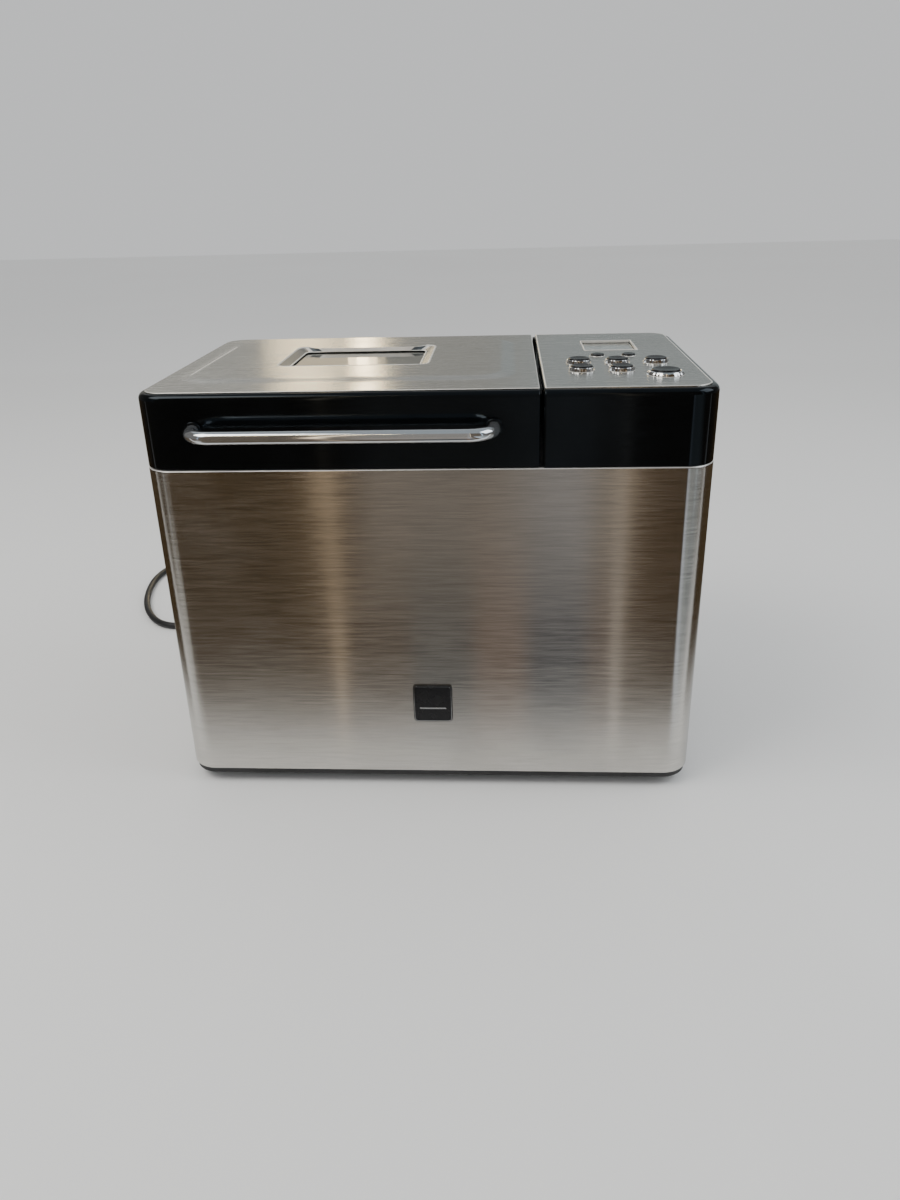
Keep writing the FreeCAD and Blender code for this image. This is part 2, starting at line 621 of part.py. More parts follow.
def make_motor():
    """Upright motor on its bracket, with its run capacitor and the power board."""
    bracket = Piece("motor_bracket", S.motor_x, MID, S.motor_z)
    bracket.pad(rect(96, 96, radius=8), 3)
    bracket.pad([circle(76), circle(70)], 13, 3)
    bracket.pad(circle(18), 5, 3)
    bracket.cut(circle(S.shaft_d + S.running), 8)
    bracket.cut([circle(S.screw_d + 0.4, x, y) for x, y in MOTOR_POSTS], 3)

    stator = Piece("motor_stator", S.motor_x, MID, S.motor_z + 16)
    stator.pad([rect(S.motor_w, S.motor_w, radius=10), circle(47)], 34)
    stator.pad([circle(68), circle(50)], 8, -8)
    stator.pad([circle(68), circle(50)], 8, 34)

    cap = Piece("motor_end_cap", S.motor_x, MID, S.motor_z + 50)
    cap.pad([circle(76), circle(70)], 12)
    cap.pad(circle(76), 3, 12)
    cap.cut(circle(S.shaft_d + S.running), 3, 12)

    rotor = Piece("motor_rotor", S.motor_x, MID, S.pulley_z - 2)
    rotor.pad(circle(S.shaft_d), 94)
    rotor.pad(circle(45), 36, S.motor_z + 15 - S.pulley_z + 2)

    capacitor = Piece("run_capacitor", S.panel_x - 10, MID - 74, STEEL_Z)
    capacitor.pad(rect(44, 20, radius=3), 30)

    board = Piece("power_board", S.panel_x, MID + BOARD_Y, BOARD_Z)
    board.pad(rect(78, 36, radius=1), 1.6)
    board.pad([rect(26, 20, -20, 2), rect(16, 13, 8, 6), circle(11, 28, -6), circle(9, 26, 8)],
              18, 1.6)
    board.pad(rect(22, 8, 6, -10), 10, 1.6)


def make_screws():
    """Screws that hold the chamber, drive, motor and rear panel."""
    screws = Piece("chassis_screws", y=MID, several=True)
    head, reach = S.screw_head_h, 10.0
    motor = [(S.motor_x + x, y) for x, y in MOTOR_POSTS]
    chamber = [(S.pan_x + x, y) for x, y in CHAMBER_POSTS]
    for places, top in ((motor, S.motor_z + 3), (chamber, S.chamber_z + S.sheet_t)):
        screws.pad([circle(S.screw_head_d, x, y) for x, y in places], head, top)
        screws.pad([circle(S.screw_d, x, y) for x, y in places], reach, top - reach)
    back = S.body_d / 2
    rear = [(x, STEEL_Z + z) for x, z in REAR_SCREWS]
    screws.pad([circle(S.screw_head_d, x, z) for x, z in rear], head, back, "XZ")
    screws.pad([circle(S.screw_d, x, z) for x, z in rear], 8, back - 8, "XZ")


def make_panel():
    """Control housing with its steel top, display, keys and control board."""
    width = PANEL_RIGHT - PANEL_LEFT
    x = (PANEL_RIGHT + PANEL_LEFT) / 2
    low = DECK_Z + DECK_TOP
    height = ROOF_Z - low
    housing = Piece("control_housing", x, MID, low)
    housing.pad(rect(width, S.band_d, radius=1.5, right_radius=S.band_r), height)
    edge_x = float(width) / 2
    housing.fillet(S.band_edge_r, lambda box: flat_at(height)(box) and box.XMax > 2.5 - edge_x)
    housing.cut(rect(width - 2 * S.shell_t, S.band_d - 2 * S.shell_t, radius=2,
                     right_radius=S.band_r - S.shell_t), height - S.roof_t)
    top = height - S.roof_t
    lcd = rect(S.lcd_w + 0.6, S.lcd_d + 0.6, S.panel_x - x, S.lcd_y, radius=1.5)
    housing.cut(lcd, S.roof_t, top)
    holes = [circle(cap + S.key_gap, key_x - x, y) for _, key_x, y, cap, _ in KEYS]
    housing.cut(holes, S.roof_t, top)
    posts = [circle(7, S.panel_x - x + a, b) for a, b in four(41.0, 80.0)]
    housing.pad(posts, ROOF_Z - S.roof_t - S.board_z - 1.6, S.board_z + 1.6 - low)

    skin = Piece("control_skin", x, MID, ROOF_Z)
    skin_w = width - S.skin_in - S.skin_side
    skin_x = (S.skin_side - S.skin_in) / 2
    skin.pad(rect(skin_w, S.band_d - 2 * S.skin_in, skin_x, radius=1, right_radius=S.skin_r),
             S.sheet_t)
    skin.cut(lcd, S.sheet_t)
    skin.cut(holes, S.sheet_t)

    lens = Piece("lcd_lens", S.panel_x, MID + S.lcd_y, ROOF_Z - S.roof_t)
    lens.pad(rect(S.lcd_w, S.lcd_d, radius=1.2), 2.2)

    board = Piece("control_board", S.panel_x, MID, S.board_z)
    board.pad(rect(90, 172, radius=2), 1.6)

    module = Piece("lcd_module", S.panel_x, MID + S.lcd_y, S.board_z + 1.6)
    module.pad(rect(46, 52, radius=1), 5)
    module.pad(rect(40, 46), ROOF_Z - S.roof_t - S.board_z - 6.6 - 0.3, 5)

    switch_h = 3.5
    switches = Piece("tact_switches", y=MID, z=S.board_z + 1.6, several=True)
    switches.pad([rect(6, 6, key_x, y) for _, key_x, y, _, _ in KEYS], switch_h)

    bezels = Piece("button_bezels", y=MID, z=SKIN_Z, several=True)
    for name, key_x, y, cap, ring in KEYS:
        height = float(S.low_bezel_h if name in SMALL_KEYS else S.bezel_h)
        land = 0.27 * height
        flare = degrees(atan2((ring - cap - float(S.key_gap)) / 2 - land, height))
        bezels.pad([circle(ring, key_x, y)], height, taper=-flare)
    bezels.cut(holes_at(KEYS), S.bezel_h)

    for name, key_x, y, cap, _ in KEYS:
        make_key(name, key_x, y, cap, switch_h)


def holes_at(keys):
    """The keys' holes, in the machine's own x."""
    return [circle(cap + S.key_gap, x, y) for _, x, y, cap, _ in keys]


def make_key(name, x, y, cap, switch_h):
    """One key: a cap with its flange under the roof and a stem over its switch."""
    flange_z = ROOF_Z - S.roof_t - 2.0
    stem_z = S.board_z + 1.6 + switch_h + 1.0
    key = Piece(name, x, MID + y, flange_z)
    top = SKIN_Z + (S.low_rise if name in SMALL_KEYS else S.key_rise) - flange_z
    key.pad(circle(cap + 3), 1.6)
    key.pad(circle(cap), top)
    key.pad(circle(4), flange_z - stem_z, stem_z - flange_z)
    key.fillet(0.8, flat_at(top))


def make_lid():
    """Lid with its steel top, window, liner, handle and hinge pins."""
    width = LID_RIGHT - LID_LEFT
    x = (LID_RIGHT + LID_LEFT) / 2
    shell = Piece("lid_shell", x, MID, LID_Z)
    shell.pad(rect(width, S.band_d, radius=S.band_r, right_radius=1.5), LID_H)
    edge_x = float(width) / 2
    shell.fillet(S.band_edge_r, lambda box: flat_at(LID_H)(box) and box.XMin < edge_x - 2.5)
    shell.cut(rect(width - 2 * S.shell_t, S.band_d - 2 * S.shell_t,
                   radius=S.band_r - S.shell_t, right_radius=2), LID_H - S.roof_t)
    eye_y = HINGE_Y - MID
    rear = S.band_d / 2
    for lug in (S.lug_left_x, S.lug_right_x):
        for side in (-1, 1):
            middle = lug - x + side * (S.lug_w / 2 + 3.5)
            shell.pad(circle(2 * S.hinge_r - 1, eye_y, S.hinge_r), 4, middle - 2, "YZ")
    bosses = [circle(9, a, b) for a, b in four(110.0, 96.0)]
    shell.pad(bosses, LID_H - S.roof_t - 3.5, 3.5)
    length = width + 2
    heel = path([(eye_y, -1), (rear + 1, -1), (rear + 1, S.hinge_r), (rear, S.hinge_r),
                 (rear, 0, S.hinge_r - 0.35), (eye_y, 0)])
    shell.cut(heel, length, -length / 2, "YZ")
    for lug in (S.lug_left_x, S.lug_right_x):
        wide = S.lug_w + 3
        low, high, near, far = -1.0, S.hinge_r + 7.5, eye_y - 7.5, rear + 1
        shell.cut(rect(far - near, high - low, (far + near) / 2, (high + low) / 2), wide,
                  lug - x - wide / 2, "YZ")
        shell.cut(circle(S.pin_d + 0.04, eye_y, S.hinge_r), S.lug_w + 11,
                  lug - x - (S.lug_w + 11) / 2, "YZ")
    hole = rect(S.glass_w, S.glass_d, S.pan_x - x, S.window_y, radius=5)
    shell.cut(hole, S.roof_t, LID_H - S.roof_t)
    ends = [circle(5, S.handle_x - x + a * S.handle_w / 2, S.handle_z - LID_Z) for a in (-1, 1)]
    shell.cut(ends, S.shell_t + 2, -S.band_d / 2 - 1, "XZ")

    skin = Piece("lid_skin", x, MID, ROOF_Z)
    skin_w = width - S.skin_in - S.skin_side
    skin_x = (S.skin_in - S.skin_side) / 2
    skin.pad(rect(skin_w, S.band_d - 2 * S.skin_in, skin_x, radius=S.skin_r, right_radius=1),
             S.sheet_t)
    field_x = S.pan_x - x
    skin.pad(rect(S.plateau_w, S.plateau_d, field_x, 3, radius=24), S.plateau_h, S.sheet_t, taper=-60)
    skin.cut(rect(S.plateau_w - 2, S.plateau_d - 2, field_x, 3, radius=23), S.plateau_h, taper=-60)
    opening = rect(S.window_w + 0.4, S.window_d + 0.4, field_x, S.window_y, radius=8.2)
    skin.cut(opening, S.plateau_h + S.sheet_t)

    frame = Piece("window_bezel", S.pan_x, MID + S.window_y, ROOF_Z)
    frame.pad(rect(S.window_w, S.window_d, radius=8), S.plateau_h + S.sheet_t)
    frame.cut(rect(S.glass_w, S.glass_d, radius=5), S.plateau_h + S.sheet_t, taper=64)

    glass = Piece("window_glass", S.pan_x, MID + S.window_y, ROOF_Z - S.roof_t - S.pane_t - 0.1)
    glass.pad(rect(S.glass_w + 10, S.glass_d + 10, radius=6), S.pane_t)
    glass.pad(rect(S.glass_w - 0.6, S.glass_d - 0.6, radius=4.7), S.pane_rise, S.pane_t)

    handle = Piece("lid_handle", S.handle_x, FRONT, S.handle_z)
    half, reach = S.handle_w / 2, S.handle_reach - S.handle_d / 2
    spine = handle.sketch(path([(-half, 0.0), (-half, -reach, S.handle_bend),
                                (half, -reach, S.handle_bend), (half, 0.0)], closed=False))
    profile = handle.sketch(circle(S.handle_d, -half, 0), 0.0, "XZ")
    handle.sweep(profile, spine)

    rings = Piece("handle_bosses", S.handle_x, FRONT, S.handle_z, several=True)
    ends = [circle(S.handle_d + 3.2, a * half, 0) for a in (-1, 1)]
    bores = [circle(S.handle_d + 0.1, a * half, 0) for a in (-1, 1)]
    rings.pad(ends + bores, 2.2, -2.2, "XZ")

    screws = Piece("handle_screws", S.handle_x, FRONT, S.handle_z, several=True)
    start = S.shell_t + 0.25
    screws.pad([circle(9, a * half, 0) for a in (-1, 1)], 2.5, start, "XZ")
    screws.pad([circle(4, a * half, 0) for a in (-1, 1)], start - 0.05, 0.05, "XZ")

    pins = Piece("hinge_pins", 0, HINGE_Y, HINGE_Z, several=True)
    for lug in (S.lug_left_x, S.lug_right_x):
        pins.pad(circle(S.pin_d), S.lug_w + 11, lug - (S.lug_w + 11) / 2, "YZ")
    return x, width


def make_liner(x, width):
    """Dished liner under the lid, with the window's inner pane."""
    liner_w = width - 2 * S.shell_t - 3
    liner = Piece("lid_liner", x, MID, LID_Z + 2)
    rear_room = 22.0
    liner_d = S.band_d - 2 * S.shell_t - 1.5 - rear_room
    y = -rear_room / 2
    dome = 21.0
    dish = (S.pan_x - x, y + 6, S.chamber_w - 2, 176.0)
    liner.pad(rect(liner_w, liner_d, 0, y, radius=S.band_r - 4, right_radius=2), 1.2)
    liner.pad(rect(dish[2], dish[3], dish[0], dish[1], radius=20), dome, 1.2, taper=-12)
    liner.cut(rect(dish[2] - 2, dish[3] - 2, dish[0], dish[1], radius=19), dome, 0, taper=-12)
    liner.cut(rect(86, 64, S.pan_x - x, S.window_y, radius=5), 2, dome)

    pane = Piece("liner_glass", S.pan_x, MID + S.window_y, LID_Z + 2 + dome + 1.2 + 0.1)
    pane.pad(rect(96, 74, radius=6), S.pane_t)


def make_pan():
    """Bread pan with its base ring, bail, shaft and kneading paddle."""
    pan = Piece("bread_pan", S.pan_x, MID, S.pan_z)
    pan.pad(rect(S.pan_w, S.pan_d, radius=S.pan_r), S.pan_h, taper=S.pan_draft)
    rim_t = 2.0
    pan.pad(rect(S.rim_w, S.rim_d, radius=S.pan_r + 7), rim_t, S.pan_h - rim_t)
    inner = rect(S.pan_w - 2 * S.pan_t, S.pan_d - 2 * S.pan_t, radius=S.pan_r - S.pan_t)
    pan.cut(inner, S.pan_h, 2.4, taper=S.pan_draft)
    pan.cut(circle(20.2), 2.4)
    pivot_z = S.pan_h + 6
    for side in (-1, 1):
        ear = side * 94.5
        pan.pad(rect(14, 13, 0, S.pan_h + 5), 2, ear - 1, "YZ")
        pan.cut(circle(S.bail_d + S.running, 0, pivot_z), 2, ear - 1, "YZ")

    ring = Piece("pan_base_ring", S.pan_x, MID, S.pan_z)
    ring.pad([circle(66), circle(60)], 13, -13)
    ring.pad(circle(66), 2, -2)
    ring.pad(circle(20), 12, -8)
    ring.cut(circle(10 + S.running), 12, -8)

    bail = Piece("bail_handle", S.pan_x, MID, S.pan_z + pivot_z)
    tip, arm = 91.0, 100.0
    spine = bail.sketch(path([(-tip, 0.0), (-arm, 0.0, 4.5), (-arm, S.bail_reach, 14),
                              (arm, S.bail_reach, 14), (arm, 0.0, 4.5), (tip, 0.0)],
                             closed=False))
    profile = bail.sketch(circle(S.bail_d, 0, 0), -tip, "YZ")
    bail.sweep(profile, spine)

    shaft = Piece("pan_shaft", S.pan_x, MID, S.pan_z)
    shaft.pad(circle(10), 38, -10)
    shaft.pad(rect(28, 5), 4.5, -14)

    paddle = Piece("kneading_paddle", S.pan_x, MID, S.pan_z + 5)
    paddle.pad(circle(17), 20)
    paddle.pad(rect(44, 7, 24, 0, radius=3), 9)
    paddle.pad(rect(30, 6, 20, 0, radius=2.5), 26, 9, taper=-4)
    paddle.cut(circle(10 + 0.04), 20)


def add_shape(name, shape):
    """A sub-part whose shape is worked out here, not by features."""
    feature = DOC.addObject("Part::Feature", name)
    feature.Label = name
    feature.Shape = shape
    PIECES.append(feature)


def rounded_route(points):
    """Straight runs joined by tangent arcs, each as large as its two runs allow."""
    edges = []
    last = points[0]
    radii = []
    for before, corner, after in zip(points, points[1:], points[2:]):
        way_in = (corner - before).normalize()
        way_out = (after - corner).normalize()
        half = way_in.getAngle(way_out) / 2
        reach = 0.45 * min((corner - before).Length, (after - corner).Length)
        radii.append(reach / tan(half))
        start = corner - way_in * reach
        end = corner + way_out * reach
        inward = (way_out - way_in).normalize()
        middle = corner + inward * (radii[-1] / cos(half) - radii[-1])
        edges.append(Part.LineSegment(last, start).toShape())
        edges.append(Part.Arc(start, middle, end).toShape())
        last = end
    edges.append(Part.LineSegment(last, points[-1]).toShape())
    return Part.Wire(edges), radii


def cord_solid(name, points, diameter):
    """A round cord along a route, with its length checked against its volume."""
    wire, radii = rounded_route(points)
    way = points[1] - points[0]
    ring = Part.Wire(Part.Circle(points[0], way, diameter / 2).toShape())
    solid = wire.makePipeShell([ring], True, False)
    section = pi * diameter ** 2 / 4
    ratio = solid.Volume / (section * wire.Length)
    print(f"{name}: length {wire.Length:.1f}, volume ratio {ratio:.4f},"
          f" radii {[round(r) for r in radii]}")
    if abs(ratio - 1) > 0.01:
        raise RuntimeError(f"{name}: the tube's volume is wrong")
    add_shape(name, solid)
    return wire.Length


def make_cord():
    """Power cord: strain relief, free length, coil and plug."""
    relief = Piece("cord_gland", S.cord_x, BACK, S.cord_z)
    relief.pad(circle(13.2), 5.1, -5, "XZ")
    relief.pad(circle(18), 2, 0.1, "XZ")
    relief.pad(circle(13), S.relief_l, 2.0, "XZ", taper=-4.8)

    rear = float(BACK)
    diameter = float(SHEET.get("cord_d"))
    route = [Vector(x, rear + y, z) for x, y, z in CORD_ROUTE]
    length = cord_solid("cord_tube", route, diameter)

    coil = Piece("cord_coil", S.coil_x, S.coil_y, 0.05)
    coil.pad([circle(2 * S.coil_r + S.cord_d), circle(2 * S.coil_r - S.cord_d)], 2 * S.cord_d)

    tail_z = 1.5 * float(S.cord_d) + 0.05
    tail_y = float(S.coil_y + S.coil_r)
    tail_x = float(S.coil_x)
    tail = [Vector(tail_x + x, tail_y + y, tail_z) for x, y in ((4, 0), (24, -1), (44, -4))]
    length += cord_solid("cord_tail", tail, diameter)
    print(f"cord: about {length + 4 * pi * float(S.coil_r):.0f} long with two turns")
    make_plug(tail[-1], tail[-1] - tail[-2])


def make_plug(place, way):
    """Three-pin plug that lies beside the coil, in line with the cord's end."""
    placement = Placement(place, Rotation(Vector(0, 0, 1), degrees(atan2(way.y, way.x))))
    plug = Piece("mains_plug", placement=placement)
    pins = Piece("plug_pins", several=True, placement=placement)
    plug.pad(circle(8), 20, 0.05, "YZ", taper=4)
    plug.pad(rect(24, 19, radius=7), 26, 18, "YZ", taper=1.5)
    pins.pad([rect(1.5, 6.4, y, 2.5) for y in (-6.35, 6.35)], 17, 44.1, "YZ")
    pins.pad(circle(4.8, 0, -5), 20, 44.1, "YZ")


def write_parts():
    """Check every object and write one STEP file for each sub-part."""
    DOC.recompute()
    bad = [obj.Name for obj in DOC.Objects if {"Invalid", "Error"} & set(obj.State)]
    if bad:
        raise RuntimeError(f"failed objects: {bad}")
    os.makedirs("parts", exist_ok=True)
    for piece in PIECES:
        shape = piece.Shape
        if shape.isNull() or not shape.isValid() or not shape.Solids:
            raise RuntimeError(f"{piece.Label}: bad shape")
        shape.exportStep(f"parts/{piece.Label}.step")
    print(len(PIECES), "sub-parts written")


make_base()
make_wrap()
make_deck()
make_chamber()
make_drive()
make_motor()
make_screws()
make_panel()
make_liner(*make_lid())
make_pan()
make_cord()
write_parts()
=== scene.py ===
"""Looks of the bread machine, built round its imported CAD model.

Metres, in the model's own frame: X to the right, Y to the back, Z up.
"""

import json
from math import atan2, copysign, cos, hypot, pi, radians, sin, sqrt, tan

import bpy
from mathutils import Matrix, Vector


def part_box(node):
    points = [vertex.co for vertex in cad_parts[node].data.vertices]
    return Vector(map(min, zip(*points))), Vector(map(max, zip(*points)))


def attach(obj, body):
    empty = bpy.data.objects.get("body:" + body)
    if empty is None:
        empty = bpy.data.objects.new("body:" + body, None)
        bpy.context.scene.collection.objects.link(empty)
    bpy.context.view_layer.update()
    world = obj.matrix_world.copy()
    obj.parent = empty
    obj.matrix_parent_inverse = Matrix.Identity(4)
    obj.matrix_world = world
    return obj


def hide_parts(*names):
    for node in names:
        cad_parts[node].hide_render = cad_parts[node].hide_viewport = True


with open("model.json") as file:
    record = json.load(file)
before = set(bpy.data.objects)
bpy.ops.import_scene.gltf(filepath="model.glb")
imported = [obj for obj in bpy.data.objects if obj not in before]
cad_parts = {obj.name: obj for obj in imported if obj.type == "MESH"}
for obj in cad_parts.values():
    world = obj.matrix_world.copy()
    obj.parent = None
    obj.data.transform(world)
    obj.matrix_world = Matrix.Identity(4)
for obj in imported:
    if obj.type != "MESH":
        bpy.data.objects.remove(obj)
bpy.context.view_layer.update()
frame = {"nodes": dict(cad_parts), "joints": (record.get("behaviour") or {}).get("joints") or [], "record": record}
MM = 0.001
KEYS = [joint["child"] for joint in frame["joints"] if joint["name"].startswith("key_")]


class Span:
    """A CAD node's box: its lowest and highest corner, middle, size and area from above."""

    def __init__(self, node):
        self.low, self.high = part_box(node)
        self.mid = (self.low + self.high) / 2
        self.size = self.high - self.low
        self.area = (self.low.x, self.high.x, self.low.y, self.high.y)


def in_mm(*rows):
    """Rows of numbers given in millimetres."""
    return [tuple(value * MM for value in row) for row in rows]


WRAP = Span("body_wrap")
LID = Span("lid_shell")
LID_TOP = Span("lid_skin")
HOUSING = Span("control_housing")
PANEL_TOP = Span("control_skin")
PAN = Span("bread_pan")
HINGE = Span("hinge_pins")
FRONT = WRAP.low.y
BACK = WRAP.high.y
BODY_MID = (FRONT + BACK) / 2
BEVEL = 7 * MM    # from the window's opening out to its frame's edge


def add_object(name, data):
    """A new object in the scene."""
    made = bpy.data.objects.new(name, data)
    bpy.context.scene.collection.objects.link(made)
    return made


# ---------------------------------------------- camera and cord

def make_camera():
    """The camera that gives the picture its framing."""
    yaw, pitch, roll = (radians(angle) for angle in (-3.866, 24.107, -1.588))
    ahead = Vector((sin(yaw) * cos(pitch), cos(yaw) * cos(pitch), -sin(pitch)))
    level = Vector((cos(yaw), -sin(yaw), 0))
    above = level.cross(ahead)
    right = level * cos(roll) + above * sin(roll)
    up = above * cos(roll) - level * sin(roll)
    data = bpy.data.cameras.new("camera")
    data.lens = 27.84
    data.sensor_width = 36
    camera = add_object("camera", data)
    camera.matrix_world = Matrix((right, up, -ahead)).transposed().to_4x4()
    camera.location = (0.052, -0.6645, 0.4007)
    bpy.context.scene.camera = camera


# Route of the cord's free length in millimetres, as the CAD model has it: x, distance
# behind the machine's back, height.
CORD_ROUTE = [(-140, 32, 34), (-140, 64, 34), (-156, 92, 14), (-192, 98, 3.3), (-230, 60, 3.3),
              (-266, 32, 3.3), (-298, 36, 3.3), (-324, 72, 3.3), (-339, 116, 3.3),
              (-345, 162, 3.3), (-335, 197, 3.3), (-305, 212, 3.3), (-262, 202, 3.3),
              (-220, 176, 3.3), (-185, 170, 3.3)]
CORD_D = 6.5 * MM
COIL_TURNS = 2
TURN_STEPS = 16


def cord_points():
    """The cord's line: the free route, the coil's two turns and the tail to the plug."""
    points = [Vector((x * MM, BACK + y * MM, z * MM)) for x, y, z in CORD_ROUTE]
    coil = Span("cord_coil")
    radius = (coil.size.x - CORD_D) / 2
    low = coil.low.z + CORD_D / 2
    for step in range(1, COIL_TURNS * TURN_STEPS):
        turns = step / TURN_STEPS
        angle = pi / 2 - 2 * pi * turns
        rise = min(max(turns - 0.75, 0.0) / 0.5, 1.0)
        spread = radius * (1 + 0.012 * sin(3 * angle))
        points.append(Vector((coil.mid.x + spread * cos(angle),
                              coil.mid.y + spread * sin(angle), low + CORD_D * rise)))
    top = Span("cord_tail").mid.z
    points += [Vector((coil.mid.x + along, coil.mid.y + radius - aside, top))
               for along, aside in in_mm((4, 0), (24, 1), (44, 4))]
    return points


def make_cord():
    """The power cord as one smooth tube."""
    points = cord_points()
    data = bpy.data.curves.new("power_cord", "CURVE")
    data.dimensions = "3D"
    spline = data.splines.new("NURBS")
    spline.points.add(len(points) - 1)
    for slot, point in zip(spline.points, points):
        slot.co = (*point, 1)
        slot.radius = CORD_D / 2
    spline.order_u = 3
    spline.use_endpoint_u = True
    spline.resolution_u = 10
    data.bevel_depth = 1.0
    data.bevel_resolution = 6
    data.use_fill_caps = True
    return add_object("power_cord", data)


# ---------------------------------------------- mesh helpers

def smooth(mesh, sharp=38.0):
    """Smooth shading wherever the mesh's faces meet by less than the sharp angle."""
    mesh.polygons.foreach_set("use_smooth", [True] * len(mesh.polygons))
    mesh.set_sharp_from_angle(angle=radians(sharp))


def add_mesh(name, points, faces, sharp=38.0):
    """A mesh object, smooth where its faces meet gently."""
    mesh = bpy.data.meshes.new(name)
    mesh.from_pydata([tuple(p) for p in points], [], faces)
    mesh.validate()
    smooth(mesh, sharp)
    return add_object(name, mesh)


def finish_piece(piece, slot, body="root", replaces=(), look=None):
    """Give a piece its finish, its even shading and the body that it rides on.

    The finish is its slot's, unless a look names another.
    """
    piece.data.materials.clear()
    piece.data.materials.append(FINISH[look or slot])
    normals = piece.modifiers.new("even_shading", "WEIGHTED_NORMAL")
    normals.keep_sharp = True
    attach(piece, body)
    if replaces:
        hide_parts(*replaces)
    return piece


def trim(piece, look, chosen):
    """One more finish, on the faces that chosen(face) picks."""
    piece.data.materials.append(FINISH[look])
    for face in piece.data.polygons:
        if chosen(face):
            face.material_index = len(piece.data.materials) - 1


def join(name, pieces):
    """Several mesh objects as one."""
    points, faces = [], []
    for piece in pieces:
        start = len(points)
        matrix = piece.matrix_world
        points += [matrix @ vertex.co for vertex in piece.data.vertices]
        faces += [[start + i for i in polygon.vertices] for polygon in piece.data.polygons]
        bpy.data.objects.remove(piece)
    return add_mesh(name, points, faces)


def cut(piece, tools):
    """Take the tools' shapes out of a piece, and remove the tools."""
    for tool in tools:
        carve = piece.modifiers.new("carve", "BOOLEAN")
        carve.operation = "DIFFERENCE"
        carve.solver = "EXACT"
        carve.object = tool
    bpy.context.view_layer.update()
    graph = bpy.context.evaluated_depsgraph_get()
    mesh = bpy.data.meshes.new_from_object(piece.evaluated_get(graph))
    piece.modifiers.clear()
    piece.data = mesh
    smooth(mesh)
    for tool in tools:
        bpy.data.objects.remove(tool)


def arc(x, y, radius, start, end, steps):
    """Points of an arc round (x, y), angles in degrees."""
    angles = [radians(start + (end - start) * i / steps) for i in range(steps + 1)]
    return [(x + radius * cos(a), y + radius * sin(a)) for a in angles]


def corner_points(x0, x1, y0, y1, left, right=None, along=0, steps=14):
    """Points round a rectangle with rounded corners, anticlockwise from its front right.

    along gives the number of points between the corners on each straight side.
    """
    right = left if right is None else right
    corners = [(x1 - right, y0 + right, right, -90), (x1 - right, y1 - right, right, 0),
               (x0 + left, y1 - left, left, 90), (x0 + left, y0 + left, left, 180)]
    arcs = [[Vector(p) for p in arc(x, y, radius, start, start + 90, steps)]
            for x, y, radius, start in corners]
    points = []
    for corner, following in zip(arcs, arcs[1:] + arcs[:1]):
        points += corner
        points += [corner[-1].lerp(following[0], i / (along + 1)) for i in range(1, along + 1)]
    return points


def ring(area, height, left, right=None, inset=0.0, split=None, along=0):
    """A level ring inside an area (x0, x1, y0, y1), its corners shrinking with the inset.

    split is (side, inset): the left or right side that has an inset of its own.
    """
    x0, x1, y0, y1 = area
    right = left if right is None else right
    ins = {"left": inset, "right": inset}
    if split:
        ins[split[0]] = split[1]
    least = 0.15 * MM
    points = corner_points(x0 + ins["left"], x1 - ins["right"], y0 + inset, y1 - inset,
                           max(left - ins["left"], least), max(right - ins["right"], least), along)
    return [Vector((p.x, p.y, height)) for p in points]


def area_at(x, y, width, depth):
    """An area (x0, x1, y0, y1) round its middle."""
    return x - width / 2, x + width / 2, y - depth / 2, y + depth / 2


def loft(name, levels, first=True, wrap=False, sharp=38.0):
    """A skin over rings of equal count, joined end to start or closed at its ends."""
    count, total = len(levels[0]), len(levels)
    faces = []
    for low in range(total if wrap else total - 1):
        high = (low + 1) % total
        for i in range(count):
            j = (i + 1) % count
            faces.append([low * count + i, low * count + j, high * count + j, high * count + i])
    if not wrap:
        if first:
            faces.append(list(range(count - 1, -1, -1)))
        faces.append(list(range((total - 1) * count, total * count)))
    return add_mesh(name, [point for level in levels for point in level], faces, sharp)


def beading(name, area, level, section, corner, right=None):
    """A closed strip round an area: a section of (inset, rise) points about a level."""
    return loft(name, [ring(area, level + rise, corner, right, inset)
                       for inset, rise in section], wrap=True)


def plate(name, area, low, high, corner, edge, right=None, low_edge=0.0, split=None):
    """A plate with rounded corners and rounded upper, and perhaps lower, edges.

    split names the side whose edges stay nearly sharp.
    """
    section = [(0.0, low)]
    if low_edge:
        section = arc(low_edge, low + low_edge, low_edge, 270, 180, 4)
    section += arc(edge, high - edge, edge, 180, 90, 7)
    levels = [ring(area, z, corner, right, inset, (split, min(inset, 0.3 * MM)) if split else None)
              for inset, z in section]
    return loft(name, levels)


def lathe(name, profile, centre, axis="z", steps=48, closed=False, sharp=38.0):
    """A turned shape: (radius, height) points round an axis through the centre."""
    levels = []
    for radius, height in profile:
        level = []
        for i in range(steps):
            angle = 2 * pi * i / steps
            a, b = radius * cos(angle), radius * sin(angle)
            offset = {"z": (a, b, height), "y": (a, height, -b), "x": (height, a, b)}[axis]
            level.append(Vector(centre) + Vector(offset))
        levels.append(level)
    return loft(name, levels, wrap=closed, sharp=sharp)


def rod(name, line, radius, steps):
    """A round bar along points, which lie close together where the line bends."""
    levels, side = [], None
    for i, point in enumerate(line):
        way = (line[min(i + 1, len(line) - 1)] - line[max(i - 1, 0)]).normalized()
        if side is None:
            side = way.orthogonal().normalized()
        side = (side - way * side.dot(way)).normalized()
        other = way.cross(side)
        levels.append([point + side * a + other * b for a, b in arc(0, 0, radius, 0, 360, steps)[:-1]])
    return loft(name, levels)


